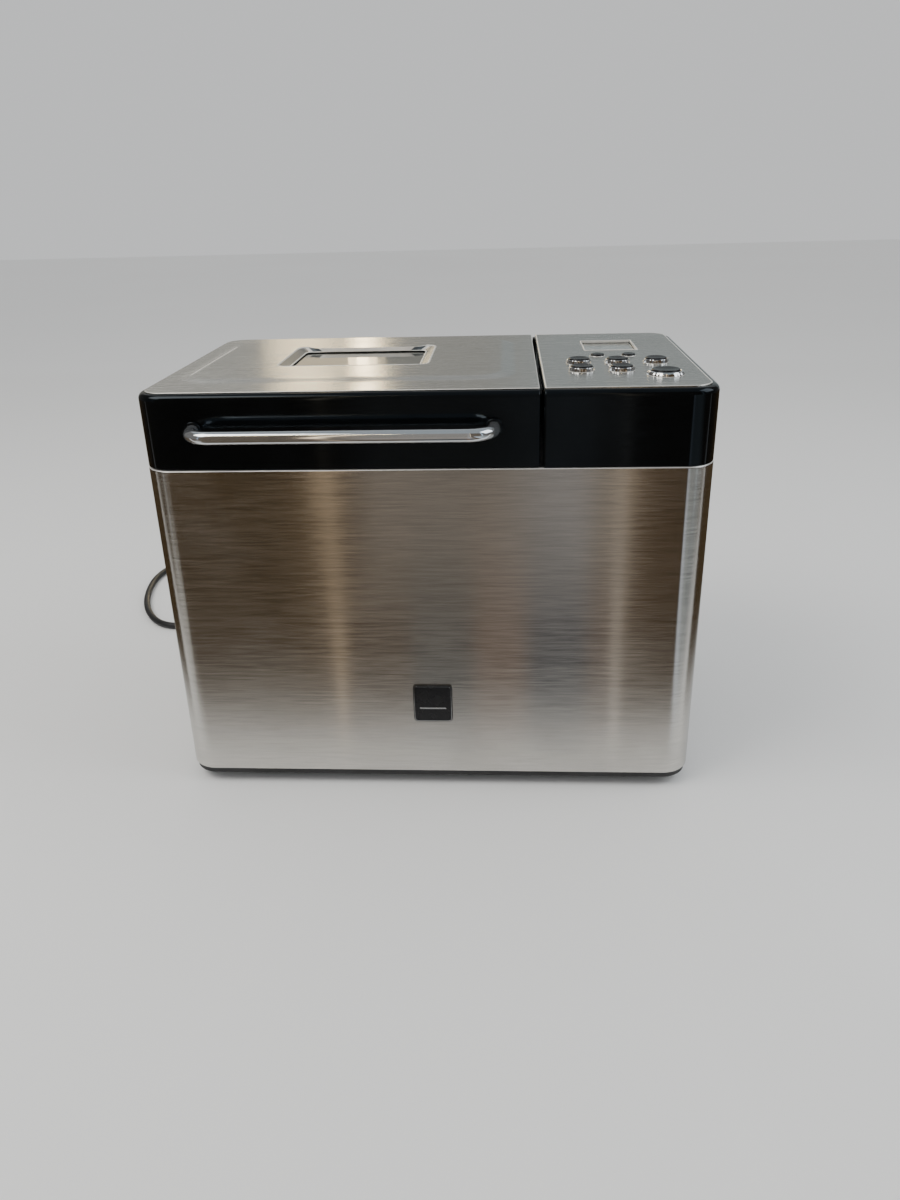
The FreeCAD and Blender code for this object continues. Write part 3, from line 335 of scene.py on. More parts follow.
def bent(corners, radius, steps):
    """Points along straight runs whose corners are rounded to one radius."""
    line = [corners[0]]
    for before, corner, after in zip(corners, corners[1:], corners[2:]):
        way_in = (corner - before).normalized()
        way_out = (after - corner).normalized()
        half = way_in.angle(way_out) / 2
        reach = radius * tan(half)
        centre = corner + (way_out - way_in).normalized() * (radius / cos(half))
        start = corner - way_in * reach - centre
        turn = way_in.cross(way_out).normalized()
        for i in range(steps + 1):
            line.append(centre + Matrix.Rotation(2 * half * i / steps, 3, turn) @ start)
    line.append(corners[-1])
    return line


def flat_map(piece):
    """A map over the piece from above, so that its grain has a direction."""
    layer = piece.data.uv_layers.new(name="grain")
    for loop in piece.data.loops:
        layer.data[loop.index].uv = piece.data.vertices[loop.vertex_index].co.xy


# ---------------------------------------------- materials

def shade(colour, share):
    """A colour made darker or lighter by a share."""
    return tuple(min(1.0, c * share) for c in colour)


class Shader:
    """A material and the nodes that make it up."""

    def __init__(self, name):
        self.material = bpy.data.materials.new(name)
        self.material.use_nodes = True
        self.tree = self.material.node_tree

    def feed(self, socket, value):
        """Link an output to a socket, or set the socket to a constant."""
        if isinstance(value, bpy.types.NodeSocket):
            self.tree.links.new(value, socket)
        elif socket.type == "RGBA":
            socket.default_value = (*value, 1)
        else:
            socket.default_value = value

    def node(self, kind, inputs=(), **settings):
        """A node with its settings, its inputs fed by name or number."""
        made = self.tree.nodes.new("ShaderNode" + kind)
        for key, value in settings.items():
            setattr(made, key, value)
        for key, value in dict(inputs).items():
            self.feed(made.inputs[key], value)
        return made

    def maths(self, operation, *values):
        return self.node("Math", enumerate(values), operation=operation).outputs[0]

    def spread(self, value, low, high, start=0.3, end=0.7, **settings):
        """The value's range from start to end, spread over low to high."""
        ranged = self.node("MapRange", {"Value": value, "From Min": start, "From Max": end,
                                        "To Min": low, "To Max": high}, **settings)
        return ranged.outputs["Result"]

    def colours(self, value, *stops):
        """Colours along a value: (position, colour) stops."""
        ramp = self.node("ValToRGB", {"Fac": value})
        elements = ramp.color_ramp.elements
        while len(elements) < len(stops):
            elements.new(0.5)
        for element, (position, colour) in zip(elements, stops):
            element.position = position
            element.color = (*colour, 1)
        return ramp.outputs["Color"]


class Finish(Shader):
    """A Principled surface, driven by noises that stay with the piece."""

    def __init__(self, name, colour, rough, metal=0.0, **constants):
        super().__init__(name)
        self.shader = self.tree.nodes["Principled BSDF"]
        self.place = self.node("TexCoord").outputs["Object"]
        constants.update(base_color=colour, roughness=rough, metallic=metal)
        for key, value in constants.items():
            self.drive(key.replace("_", " ").title().replace("Ior", "IOR"), value)

    def drive(self, socket, value):
        self.feed(self.shader.inputs[socket], value)

    def tint(self, value, *stops):
        """Base colour along a value."""
        self.drive("Base Color", self.colours(value, *stops))

    def roughen(self, value, *limits):
        """Roughness along a value."""
        self.drive("Roughness", self.spread(value, *limits))

    def bump(self, height, depth):
        """Relief of a height from 0 to 1 times a depth in millimetres."""
        relief = self.node("Bump", {"Height": height, "Strength": 1.0, "Distance": depth * MM})
        self.drive("Normal", relief.outputs["Normal"])

    def noise(self, scale, stretch=(1, 1, 1), detail=3, rough=0.5):
        """Cloudy noise from 0 to 1, with its scale in cycles per metre."""
        mapping = self.node("Mapping", {"Vector": self.place, "Scale": stretch})
        return self.node("TexNoise", {"Vector": mapping.outputs["Vector"], "Scale": scale,
                                      "Detail": detail, "Roughness": rough}).outputs["Fac"]

    def blend(self, share, one, two, mode="MIX"):
        """One colour laid over another by a share."""
        # A colour mix has its share at socket 0, its colours at 6 and 7, its result at 2.
        return self.node("Mix", {0: share, 6: one, 7: two}, data_type="RGBA",
                         blend_type=mode).outputs[2]

    def fleck(self, tone, scale, start, end, share, colour):
        """Base colour of a tone with fine flecks of another colour on it."""
        flecks = self.spread(self.noise(scale, detail=1), 0, share, start, end)
        self.drive("Base Color", self.blend(flecks, tone, colour))

    def cells(self, scale, one, two, joint, width, **settings):
        """Small cells in two colours with joints of a third."""
        brick = self.node("TexBrick", {"Vector": self.place, "Scale": scale, "Color1": one,
                                       "Color2": two, "Mortar": joint, "Mortar Size": width},
                          **settings)
        return brick.outputs["Color"]


def moulded(name, colour, rough, lift=1.35, patch=35, texture=900, depth=0.02, **constants):
    """Moulded plastic or rubber: slight tone changes, handling marks and a fine texture."""
    finish = Finish(name, colour, rough, **constants)
    swing = 0.06
    finish.tint(finish.noise(patch, detail=5), (0.35, colour), (0.7, shade(colour, lift)))
    finish.roughen(finish.noise(140, detail=6), rough - swing, rough + swing)
    finish.bump(finish.noise(texture, detail=2), depth)
    return finish.material


def brushed(name, colour, rough, across, wave, grain, aniso=1.0):
    """Brushed steel: fine level grain, faint cloudy smudges and a few hairline scratches.

    across is the axis that the grain's lines lie side by side on: 2 for Z on the upright
    wrap, 1 for Y on a flat top. wave is the height of the sheet's slow unevenness and grain
    the depth of its lines, in millimetres.
    """
    finish = Finish(name, colour, rough, 1.0, anisotropic=aniso, anisotropic_rotation=0.25)
    if across == 2:
        way = finish.node("Tangent", direction_type="RADIAL", axis="Z")
    else:
        way = finish.node("Tangent", direction_type="UV_MAP", uv_map="grain")
    finish.drive("Tangent", way.outputs["Tangent"])

    def lines(along, apart, detail):
        stretch = [along] * 3
        stretch[across] = apart
        return finish.noise(1, stretch, detail, 0.6)

    def layers(one, share, two, other_share):
        return finish.maths("ADD", finish.maths("MULTIPLY", one, share),
                            finish.maths("MULTIPLY", two, other_share))

    light = shade(colour, 1.12)
    both = layers(lines(45, 2400, 3), 0.85, lines(6, 420, 3), 0.15)
    tone = finish.colours(both, (0.36, shade(colour, 0.82)), (0.5, colour), (0.64, light))
    smudge = finish.spread(finish.noise(13, detail=6, rough=0.62), 0, 1, 0.50, 0.74)
    scratch = finish.spread(lines(22, 1100, 1), 0, 0.30, 0.76, 0.80)
    tone = finish.blend(finish.maths("MULTIPLY", smudge, 0.35), tone, shade(colour, 0.86))
    finish.drive("Base Color", finish.blend(scratch, tone, light))
    rougher = finish.spread(both, rough - 0.03, rough + 0.04, 0.35, 0.65)
    finish.drive("Roughness", layers(rougher, 1, smudge, 0.05))
    finish.bump(layers(finish.noise(5, detail=1), wave, both, grain), 1)
    return finish.material


def polished(name, colour, rough=0.06, spread=0.05, metal=1.0):
    """Bright plated or polished metal with faint wipe marks."""
    finish = Finish(name, colour, rough, metal)
    marks = finish.noise(60, detail=5, rough=0.65)
    finish.roughen(marks, rough, rough + spread, 0.4, 0.75)
    finish.tint(marks, (0.3, shade(colour, 0.93)), (0.7, colour))
    return finish.material


def dull_metal(name, colour, rough, patch=50, depth=0.03):
    """Cast, rolled or plated metal in its working state."""
    finish = Finish(name, colour, rough, 1.0)
    cloud = finish.noise(patch, detail=6, rough=0.6)
    finish.tint(cloud, (0.3, shade(colour, 0.78)), (0.7, colour))
    finish.roughen(cloud, rough - 0.07, rough + 0.09)
    finish.bump(finish.noise(700, detail=3), depth)
    return finish.material


def gloss_black():
    """Black piano-gloss plastic with dust and very fine wiping scratches."""
    black = (0.0014, 0.0017, 0.0021)
    finish = Finish("gloss_black_plastic", black, 0.09, specular_ior_level=0.26,
                    coat_weight=0.06, coat_roughness=0.03, specular_tint=(0.70, 0.86, 1.0))
    cloud = finish.noise(28, detail=5, rough=0.6)
    tone = finish.colours(cloud, (0.35, black), (0.75, (0.003, 0.0035, 0.004)))
    finish.fleck(tone, 2600, 0.72, 0.78, 0.05, (0.20, 0.19, 0.18))
    finish.roughen(finish.noise(1, (40, 700, 700), 3, 0.7), 0.06, 0.17, 0.4, 0.75)
    return finish.material


def clear_glass(name, tint, ior=1.5):
    """Clear pane: glass with a slight tint and a trace of finger marks."""
    finish = Finish(name, tint, 0.02, transmission_weight=1.0, ior=ior)
    finish.roughen(finish.noise(45, detail=5), 0.02, 0.10, 0.5, 0.75)
    return finish.material


def dark_glass():
    """Window glass darkened by the unlit oven behind it, with a haze of baking and dust."""
    finish = Finish("dark_window_glass", (0.10, 0.10, 0.09), 0.05, transmission_weight=0.35, ior=1.5)
    haze = finish.noise(26, detail=6, rough=0.6)
    finish.roughen(haze, 0.04, 0.20, 0.4, 0.75)
    finish.tint(haze, (0.30, (0.075, 0.076, 0.068)), (0.75, (0.17, 0.17, 0.15)))
    return finish.material


def speckled_coating():
    """Dark non-stick coating with fine pale flecks."""
    base = (0.028, 0.029, 0.031)
    finish = Finish("non_stick_coating", base, 0.38)
    cloud = finish.colours(finish.noise(40, detail=4), (0.3, base), (0.7, (0.045, 0.046, 0.05)))
    finish.fleck(cloud, 1500, 0.66, 0.72, 0.55, (0.30, 0.30, 0.31))
    finish.roughen(finish.noise(90, detail=5), 0.30, 0.46)
    finish.bump(finish.noise(1100, detail=2), 0.03)
    return finish.material


def sheet_pack():
    """Motor laminations: thin steel sheets stacked along Z."""
    finish = Finish("motor_laminations", (0.20, 0.20, 0.21), 0.42, 1.0)
    sheets = finish.noise(1, (4, 4, 2000), 1)
    finish.tint(sheets, (0.4, (0.09, 0.09, 0.095)), (0.6, (0.30, 0.30, 0.32)))
    finish.bump(sheets, 0.15)
    return finish.material


def board_green():
    """Circuit board: green solder mask with lighter copper tracks under it."""
    finish = Finish("circuit_board_green", (0.01, 0.09, 0.04), 0.35)
    finish.drive("Base Color", finish.cells(130, (0.010, 0.085, 0.036), (0.014, 0.120, 0.050),
                                            (0.030, 0.190, 0.085), 0.035))
    finish.roughen(finish.noise(200), 0.28, 0.42)
    return finish.material


def display_grey():
    """Unlit display: grey-green film with the faint grid of its segments."""
    finish = Finish("display_film", (0.30, 0.33, 0.30), 0.30)
    cells = finish.cells(95, (0.300, 0.325, 0.300), (0.315, 0.338, 0.312),
                         (0.275, 0.300, 0.278), 0.03, offset=0.0)
    cloud = finish.colours(finish.noise(30), (0.3, (0.82, 0.82, 0.82)), (0.7, (1, 1, 1)))
    finish.drive("Base Color", finish.blend(1.0, cells, cloud, "MULTIPLY"))
    finish.roughen(finish.noise(160), 0.24, 0.36)
    return finish.material


def make_materials():
    """Every finish by the record's slot name, and some of scene-only use."""
    return {
        "brushed_steel": brushed("brushed_steel_wrap", (0.62, 0.60, 0.565), 0.195, 2, 0.10,
                                 0.002),
        "brushed_top": brushed("brushed_steel_top", (0.65, 0.64, 0.605), 0.24, 1, 0.15, 0.0012,
                               aniso=0.93),
        "painted_steel": moulded("painted_rear_steel", (0.020, 0.020, 0.021), 0.48,
                                 texture=700, depth=0.06),
        "badge_black": moulded("badge_black", (0.008, 0.008, 0.009), 0.25, depth=0.01),
        "gloss_black": gloss_black(),
        "base_black": moulded("base_black_plastic", (0.016, 0.016, 0.017), 0.55, texture=1100,
                              depth=0.06),
        "rubber": moulded("foot_rubber", (0.022, 0.022, 0.022), 0.78, texture=800, depth=0.08),
        "chrome": polished("bright_chrome", (0.86, 0.87, 0.88)),
        "steel_bright": dull_metal("zinc_plated_steel", (0.66, 0.66, 0.64), 0.28),
        "bronze": dull_metal("sintered_bronze", (0.48, 0.30, 0.13), 0.40),
        "liner_metal": dull_metal("aluminised_liner", (0.72, 0.72, 0.70), 0.34, patch=22),
        "heater_sheath": dull_metal("heater_sheath", (0.23, 0.21, 0.20), 0.45),
        "cast_metal": dull_metal("die_cast_metal", (0.52, 0.52, 0.53), 0.46, depth=0.06),
        "pulley_plastic": moulded("pulley_nylon", (0.62, 0.60, 0.54), 0.45, lift=1.1),
        "belt_rubber": moulded("belt_rubber", (0.016, 0.016, 0.016), 0.70, texture=500,
                               depth=0.08),
        "laminations": sheet_pack(),
        "capacitor_case": moulded("capacitor_case", (0.55, 0.55, 0.52), 0.42, lift=1.1),
        "circuit_board": board_green(),
        "switch_plastic": moulded("switch_plastic", (0.05, 0.05, 0.05), 0.40),
        "clear_lens": clear_glass("display_lens", (0.93, 0.95, 0.94), 1.36),
        "display": display_grey(),
        "dark_glass": dark_glass(),
        "clear_pane": clear_glass("liner_pane", (0.90, 0.91, 0.88)),
        # Painted highlight: a light, half-metal colour laid on edges, folds and ring feet in place of the light
        # that they catch.
        "highlight_paint": polished("painted_edge_highlight", (0.92, 0.90, 0.85), 0.34, 0.10, 0.55),
        "shaded_steel": polished("shaded_steel", (0.085, 0.098, 0.106), 0.35, metal=0.2),
        "bar_chrome": polished("bar_chrome", (0.86, 0.895, 0.93), metal=0.94),
        "pan_coating": speckled_coating(),
        "key_black": moulded("key_black", (0.007, 0.007, 0.008), 0.24, depth=0.01,
                             specular_ior_level=0.35),
        "cord_black": moulded("cord_jacket_black", (0.012, 0.012, 0.013), 0.42, lift=1.8,
                              patch=60, texture=420, depth=0.05),
        "pin_brass": dull_metal("nickel_plated_pins", (0.72, 0.68, 0.58), 0.22),
    }


def paint_cad_nodes():
    """Give every CAD node that stays shown the finish of its slot."""
    for row in frame["record"]["subparts"]:
        node = frame["nodes"][row["node"]]
        node.data.materials.clear()
        node.data.materials.append(FINISH[row["material_slot"]])


# ---------------------------------------------- floor and light

def make_floor():
    """Plain pale floor."""
    side = 6
    floor = add_mesh("floor", [(-side, -side, 0), (side, -side, 0), (side, side, 0),
                               (-side, side, 0)], [[0, 1, 2, 3]])
    finish = Finish("floor_paper", (0.86, 0.86, 0.85), 0.9)
    finish.tint(finish.noise(1.2, detail=2), (0.3, (0.85, 0.85, 0.84)), (0.7, (0.87, 0.87, 0.86)))
    floor.data.materials.append(finish.material)


def make_world():
    """Even pale surroundings."""
    world = bpy.data.worlds.new("studio")
    world.use_nodes = True
    background = world.node_tree.nodes["Background"]
    background.inputs["Color"].default_value = (0.93, 0.94, 0.95, 1)
    background.inputs["Strength"].default_value = 0.75
    bpy.context.scene.world = world


# The cards' bands fan out from this point, where a mirror in the front's place would
# put a viewer. Their slopes are sideways metres for each metre forward.
FAN = Vector((0.052, 0.4617))
FAN_REACH = 1.2


def card_shader(name, bands, soft_edge=None):
    """Glow in bands of colour, each given by its slope from the fan's centre.

    soft_edge is the axis and the two places between which the glow fades in.
    """
    card = Shader(name)
    card.tree.nodes.clear()
    place = card.node("SeparateXYZ", {0: card.node("TexCoord").outputs["Object"]}).outputs
    slope = card.maths("DIVIDE", card.maths("SUBTRACT", place["X"], FAN.x),
                       card.maths("SUBTRACT", FAN.y, place["Y"]))
    share = card.spread(slope, 0, 1, -FAN_REACH, FAN_REACH)
    stops = [((at + FAN_REACH) / (2 * FAN_REACH), colour) for at, colour in bands]
    glow = card.node("Emission", {"Color": card.colours(share, *stops)}).outputs[0]
    if soft_edge:
        axis, start, end = soft_edge
        fade = card.spread(place[axis], 0, 1, start, end, interpolation_type="SMOOTHSTEP")
        clear = card.node("BsdfTransparent").outputs[0]
        glow = card.node("MixShader", {0: fade, 1: clear, 2: glow}).outputs[0]
    card.node("OutputMaterial", {"Surface": glow})
    return card.material


def add_card(name, low, high, bands, soft_edge=None):
    """A level or upright studio card between two corners, which shows only in reflections."""
    (x0, y0, z0), (x1, y1, z1) = low, high
    if z0 == z1:
        corners = [(x0, y0, z0), (x1, y0, z0), (x1, y1, z0), (x0, y1, z0)]
    else:
        corners = [(x0, y0, z0), (x1, y1, z0), (x1, y1, z1), (x0, y0, z1)]
    card = add_mesh(name, corners, [[0, 1, 2, 3]])
    card.data.materials.append(card_shader(name, bands, soft_edge))
    for way in ("camera", "diffuse", "transmission", "shadow", "volume_scatter"):
        setattr(card, f"visible_{way}", False)


def make_cards():
    """Dark cards round the machine, which the steel, the chrome and the gloss mirror."""
    umber, brown, buff = (0.070, 0.046, 0.022), (0.082, 0.056, 0.034), (0.165, 0.112, 0.082)
    slate, steel_blue = (0.066, 0.065, 0.062), (0.058, 0.061, 0.070)
    pink, line = (0.125, 0.092, 0.074), (0.42, 0.41, 0.38)
    streak, glint = (0.52, 0.40, 0.27), (0.85, 0.76, 0.66)
    blue, grey, dark = (0.66, 0.72, 0.80), (0.37, 0.40, 0.405), (0.09, 0.09, 0.095)
    room, sky, lamp = (0.21, 0.187, 0.163), (0.265, 0.26, 0.26), (3.2, 2.5, 1.7)
    haze, pale = (0.26, 0.228, 0.195), (0.36, 0.345, 0.335)
    mid, glow, ceiling = (0.10, 0.095, 0.088), (0.75, 0.86, 1.0), (0.25, 0.28, 0.30)
    beige, grey_blue = (0.35, 0.345, 0.315), (0.37, 0.41, 0.415)

    def streaks(left, middle, right, between):
        """One bright streak left of the middle bands and two right of them."""
        return [(-0.216, brown), (-0.205, left), (-0.194, brown), *middle, (0.104, between),
                (0.108, right), (0.112, between), (0.124, between), (0.129, right), (0.135, brown)]

    window = [(0.26, umber), (0.29, blue), (0.33, blue), (0.36, grey)]
    end = [(0.72, grey), (1.1, umber)]
    plain = [(-1.1, umber), (1.1, umber)]
    table = [(-1.1, umber), (-0.86, umber), (-0.80, line), (-0.56, line), (-0.50, umber),
             (-0.24, umber)]
    table += streaks(streak, [(-0.125, brown), (-0.108, slate), (-0.050, slate), (-0.032, buff),
                              (0.014, buff), (0.034, steel_blue), (0.088, steel_blue)], glint, pink)
    table += window + [(0.45, grey), (0.47, dark), (0.60, grey), (0.62, dark)] + end
    wall = [(-1.1, umber), (-0.26, umber)]
    wall += streaks(lamp, [(-0.15, room), (0.0, room), (0.06, sky)], lamp, room)
    wall += [(0.9, umber)]
    far_table = [(-1.1, umber), (-0.24, umber)]
    far_table += streaks(streak, [(-0.150, haze), (-0.03, haze), (0.06, pale), (0.09, pale)],
                         glint, haze)
    far_table += window + end

    side, front, back, tall = 1.7, -1.6, 1.6, 2.0
    near, fade, lift = -0.12, -0.25, 3 * MM
    middle, reach = -0.385, -0.50
    add_card("table_card", (-side, front, lift), (side, near, lift), table, ("Y", near, fade))
    add_card("far_table_card", (-side, front, 2 * lift), (side, middle, 2 * lift), far_table,
             ("Y", middle, reach))
    for way in (-1, 1):
        start, dark_at = way * 0.24, way * 0.40
        add_card("side_table_card", (start, near, lift), (way * side, back, lift), plain,
                 ("X", start, dark_at))
    add_card("front_card", (-side, front, 0), (side, front, tall), wall)
    right = [(-1.1, mid), (0.86, dark), (0.88, glow), (0.93, glow), (0.95, dark), (1.15, mid)]
    left = [(-1.1, mid), (-1.02, dark), (-1.0, glow), (-0.97, glow), (-0.95, dark), (1.1, mid)]
    add_card("left_card", (-side, front, 0), (-side, back, tall), left)
    add_card("right_card", (side, front, 0), (side, back, tall), right)
    add_card("back_card", (-2.4, back, 0), (2.4, back, 1.3),
             [(-1.1, grey_blue), (-0.25, grey_blue), (-0.10, grey_blue), (0.05, beige), (1.1, beige)])
    add_card("ceiling_card", (-side, front, tall), (side, back, tall),
             [(-1.1, ceiling), (1.1, ceiling)])


def add_light(name, place, target, size, power, colour, size_y=None, gloss_only=False):
    """A soft rectangular light that points at a target."""
    data = bpy.data.lights.new(name, "AREA")
    data.shape = "RECTANGLE"
    data.size = size
    data.size_y = size_y or size
    data.energy = power
    data.color = colour
    light = add_object(name, data)
    light.location = place
    way = Vector(target) - Vector(place)
    light.rotation_euler = way.to_track_quat("-Z", "Y").to_euler()
    light.visible_camera = False
    if gloss_only:
        light.visible_diffuse = False


def make_lights():
    """Soft light from above and the left, with small lamps for the steel's streaks."""
    add_light("key_soft", (-0.9, -0.5, 1.5), (0, 0, 0.1), 1.0, 14, (1.0, 0.97, 0.92))
    add_light("fill_soft", (1.2, -0.2, 1.1), (0, 0, 0.15), 0.9, 7, (0.90, 0.95, 1.0))
    warm = (1.0, 0.80, 0.48)
    lamps = [("lamp_window", (-0.25, 1.3, 0.50), (-0.04, 0, 0.29), 0.024, 0.85, 1.0),
             ("lamp_window", (-0.25, 1.3, 0.50), (-0.04, 0, 0.29), 0.060, 0.80, 1.0),
             ("lamp_lid", (-0.40, 1.3, 1.0), (-0.08, -0.05, 0.29), 0.06, 0.45, 0.4),
             ("lamp_lid", (-0.40, 1.3, 1.0), (-0.08, -0.05, 0.29), 0.13, 0.65, 0.4),
             ("lamp_between", (-0.33, 1.3, 0.62), (-0.06, 0, 0.29), 0.26, 0.65, 0.8),
             ("lamp_edges", (-0.50, -1.3, 1.7), (-0.1, -0.1, 0.28), 0.55, 0.8, 0.03)]
    for name, place, target, size, power, size_y in lamps:
        add_light(name, place, target, size, power, warm, size_y, gloss_only=True)


# ---------------------------------------------- steel body

def make_wrap():
    """Steel wrap: one sheet round the front and sides, its edges rolled inwards."""
    x0, x1, y0, y1 = WRAP.area
    corners = corner_points(x0, x1, y0, y1, 20 * MM, steps=24)
    start = len(corners) // 2
    opening = 150 * MM
    line = [Vector((-opening, y1)), *corners[start:], *corners[:start], Vector((opening, y1))]
    roll, sheet, lip = 1.1 * MM, 0.8 * MM, 1.9 * MM
    low, high = WRAP.low.z, WRAP.high.z
    section = arc(roll, low + roll, roll, 270, 180, 5) + arc(roll, high - roll, roll, 180, 90, 6)
    section += [(lip, high), (lip, high - sheet), (sheet + 0.5 * MM, high - sheet),
                (sheet, high - 2 * sheet), (sheet, low + 2 * sheet)]
    levels = []
    for i, point in enumerate(line):
        way = line[min(i + 1, len(line) - 1)] - line[max(i - 1, 0)]
        out = Vector((way.y, -way.x)).normalized()
        if i in (0, len(line) - 1):
            out = Vector((0, 1))
        levels.append([Vector((point.x - out.x * inset, point.y - out.y * inset, z))
                       for inset, z in section])
    wrap = loft("steel_wrap", levels)
    finish_piece(wrap, "brushed_steel", replaces=["body_wrap"])
    # The top of the rolled edge gets a painted highlight.
    trim(wrap, "highlight_paint", lambda face: face.center.z > high - 0.6 * MM)


def make_badge():
    """Plain black badge with a thin bright border and one bright bar, with no lettering."""
    span = Span("front_badge")
    turn = Matrix.Rotation(radians(90), 4, "X")
    back = Matrix.Translation((span.mid.x, span.high.y, span.mid.z)) @ turn
    width, thick, height = span.size
    face = plate("badge_plate", area_at(0, 0, width, height), 0, thick, 3 * MM, 0.5 * MM)
    pocket = area_at(0, 0, width - 2.2 * MM, height - 2.2 * MM)
    tool = plate("badge_pocket", pocket, thick - 0.35 * MM, thick + 1 * MM, 2 * MM, 0.1 * MM)
    cut(face, [tool])
    edge = area_at(0, 0, width - 1.2 * MM, height - 1.2 * MM)
    border = beading("badge_border", edge, thick,
                     in_mm((0, -0.1), (0.1, 0.02), (0.35, 0.02), (0.45, -0.1)), 2.5 * MM)
    bar = plate("badge_bar", area_at(0, -0.12 * height, width - 9 * MM, 1.1 * MM),
                thick - 0.4 * MM, thick - 0.05 * MM, 0.5 * MM, 0.15 * MM)
    for piece, slot, nodes in ((face, "badge_black", ["front_badge"]), (border, "chrome", []),
                               (bar, "chrome", [])):
        piece.data.transform(back)
        finish_piece(piece, slot, replaces=nodes)


# ---------------------------------------------- lid

def lid_levels():
    """Rings of the lid's cover: inner roof, inner wall, lower edge, outer wall, top edge."""
    low, high = LID.low.z, LID.high.z
    wall, roof, rim, edge = 2.5 * MM, 3 * MM, 0.5 * MM, 4 * MM
    steps = [2 * rim + i * MM for i in range(10)]
    section = [(wall, high - roof, wall)]
    section += [(wall, low + z, wall) for z in reversed(steps)]
    section += [(wall - 0.4 * MM, low, wall - 0.4 * MM), (rim, low, rim)]
    section += [(x, z, x) for x, z in arc(rim, low + rim, rim, 270, 180, 3)[1:]]
    section += [(0.0, low + z, 0.0) for z in steps]
    section += [(x, z, min(x, 0.35 * MM)) for x, z in arc(edge, high - edge, edge, 180, 90, 9)]
    levels = []
    reach = LID.high.y - HINGE.mid.y - 0.35 * MM
    for inset, z, side in section:
        level = ring(LID.area, z, 19.5 * MM, 1.5 * MM, inset, ("right", side))
        drop = HINGE.mid.z - z
        if drop > 0:
            far = HINGE.mid.y + sqrt(max((reach - inset) ** 2 - drop ** 2, 0.0))
            for point in level:
                point.y = min(point.y, far)
        levels.append(level)
    return levels


def make_lid_cover():
    """Gloss black lid with a rounded heel at its hinge and the opening for the window."""
    cover = loft("lid_cover", lid_levels())
    tools, cheeks = [], []
    lug_width, notch_width, notch_front, notch_tall = 27 * MM, 19 * MM, 7.5 * MM, 17.5 * MM
    radius, half, edge, cheek_at = 9.5 * MM, 2 * MM, 0.5 * MM, 11.5 * MM
    cheek = [(radius - edge, -half), (radius, edge - half), (radius, half - edge),
             (radius - edge, half)]
    for x in (HINGE.low.x + lug_width / 2, HINGE.high.x - lug_width / 2):
        area = (x - notch_width / 2, x + notch_width / 2, HINGE.mid.y - notch_front,
                LID.high.y + 2 * MM)
        tools.append(plate("lug_notch", area, LID.low.z - 2 * MM, LID.low.z + notch_tall,
                           1 * MM, 0.5 * MM))
        cheeks += [lathe("cheek", cheek, (x + aside, HINGE.mid.y, HINGE.mid.z), "x")
                   for aside in (-cheek_at, cheek_at)]
    tools.append(plate("window_opening", window_area(), LID.high.z - 8 * MM,
                       LID.high.z + 3 * MM, 5 * MM, 0.5 * MM))
    cut(cover, tools)
    finish_piece(cover, "gloss_black", "lid", ["lid_shell"])
    finish_piece(join("hinge_cheeks", cheeks), "gloss_black", "lid")


def smooth_step(share):
    """The share from 0 to 1, eased at both ends."""
    share = min(max(share, 0.0), 1.0)
    return share * share * (3 - 2 * share)


def window_area():
    """The window's opening: its frame's area less a bevel, with only a step in front."""
    x0, x1, y0, y1 = Span("window_bezel").area
    return x0 + BEVEL, x1 - BEVEL, y0 + 3 * MM, y1 - BEVEL


def window_ring(out, height, lift, along):
    """A ring round the window, out from its opening, flared at its two ends.

    Along the back the flare pulls in, so that only its ends stand wide, and along the
    front it is narrow. lift raises the ring by a height that fades out where it pulls in.
    """
    x0, x1, y0, y1 = window_area()
    mid_x, mid_y, depth = (x0 + x1) / 2, (y0 + y1) / 2, y1 - y0
    level = ring((x0 - out, x1 + out, y0 - out, y1 + out), height, 5 * MM + 0.25 * out, along=along)
    for point in level:
        across = abs(point.x - mid_x) / (x1 - mid_x + out)
        inner = smooth_step((0.86 - across) / 0.13)
        back = smooth_step((point.y - mid_y) / (0.4 * depth))
        front = smooth_step((mid_y - point.y) / (0.4 * depth))
        point.y += out * (0.66 * front - 0.84 * inner * back)
        point.z += lift * (1 - inner * back) * (1 - 0.5 * front)
    return level


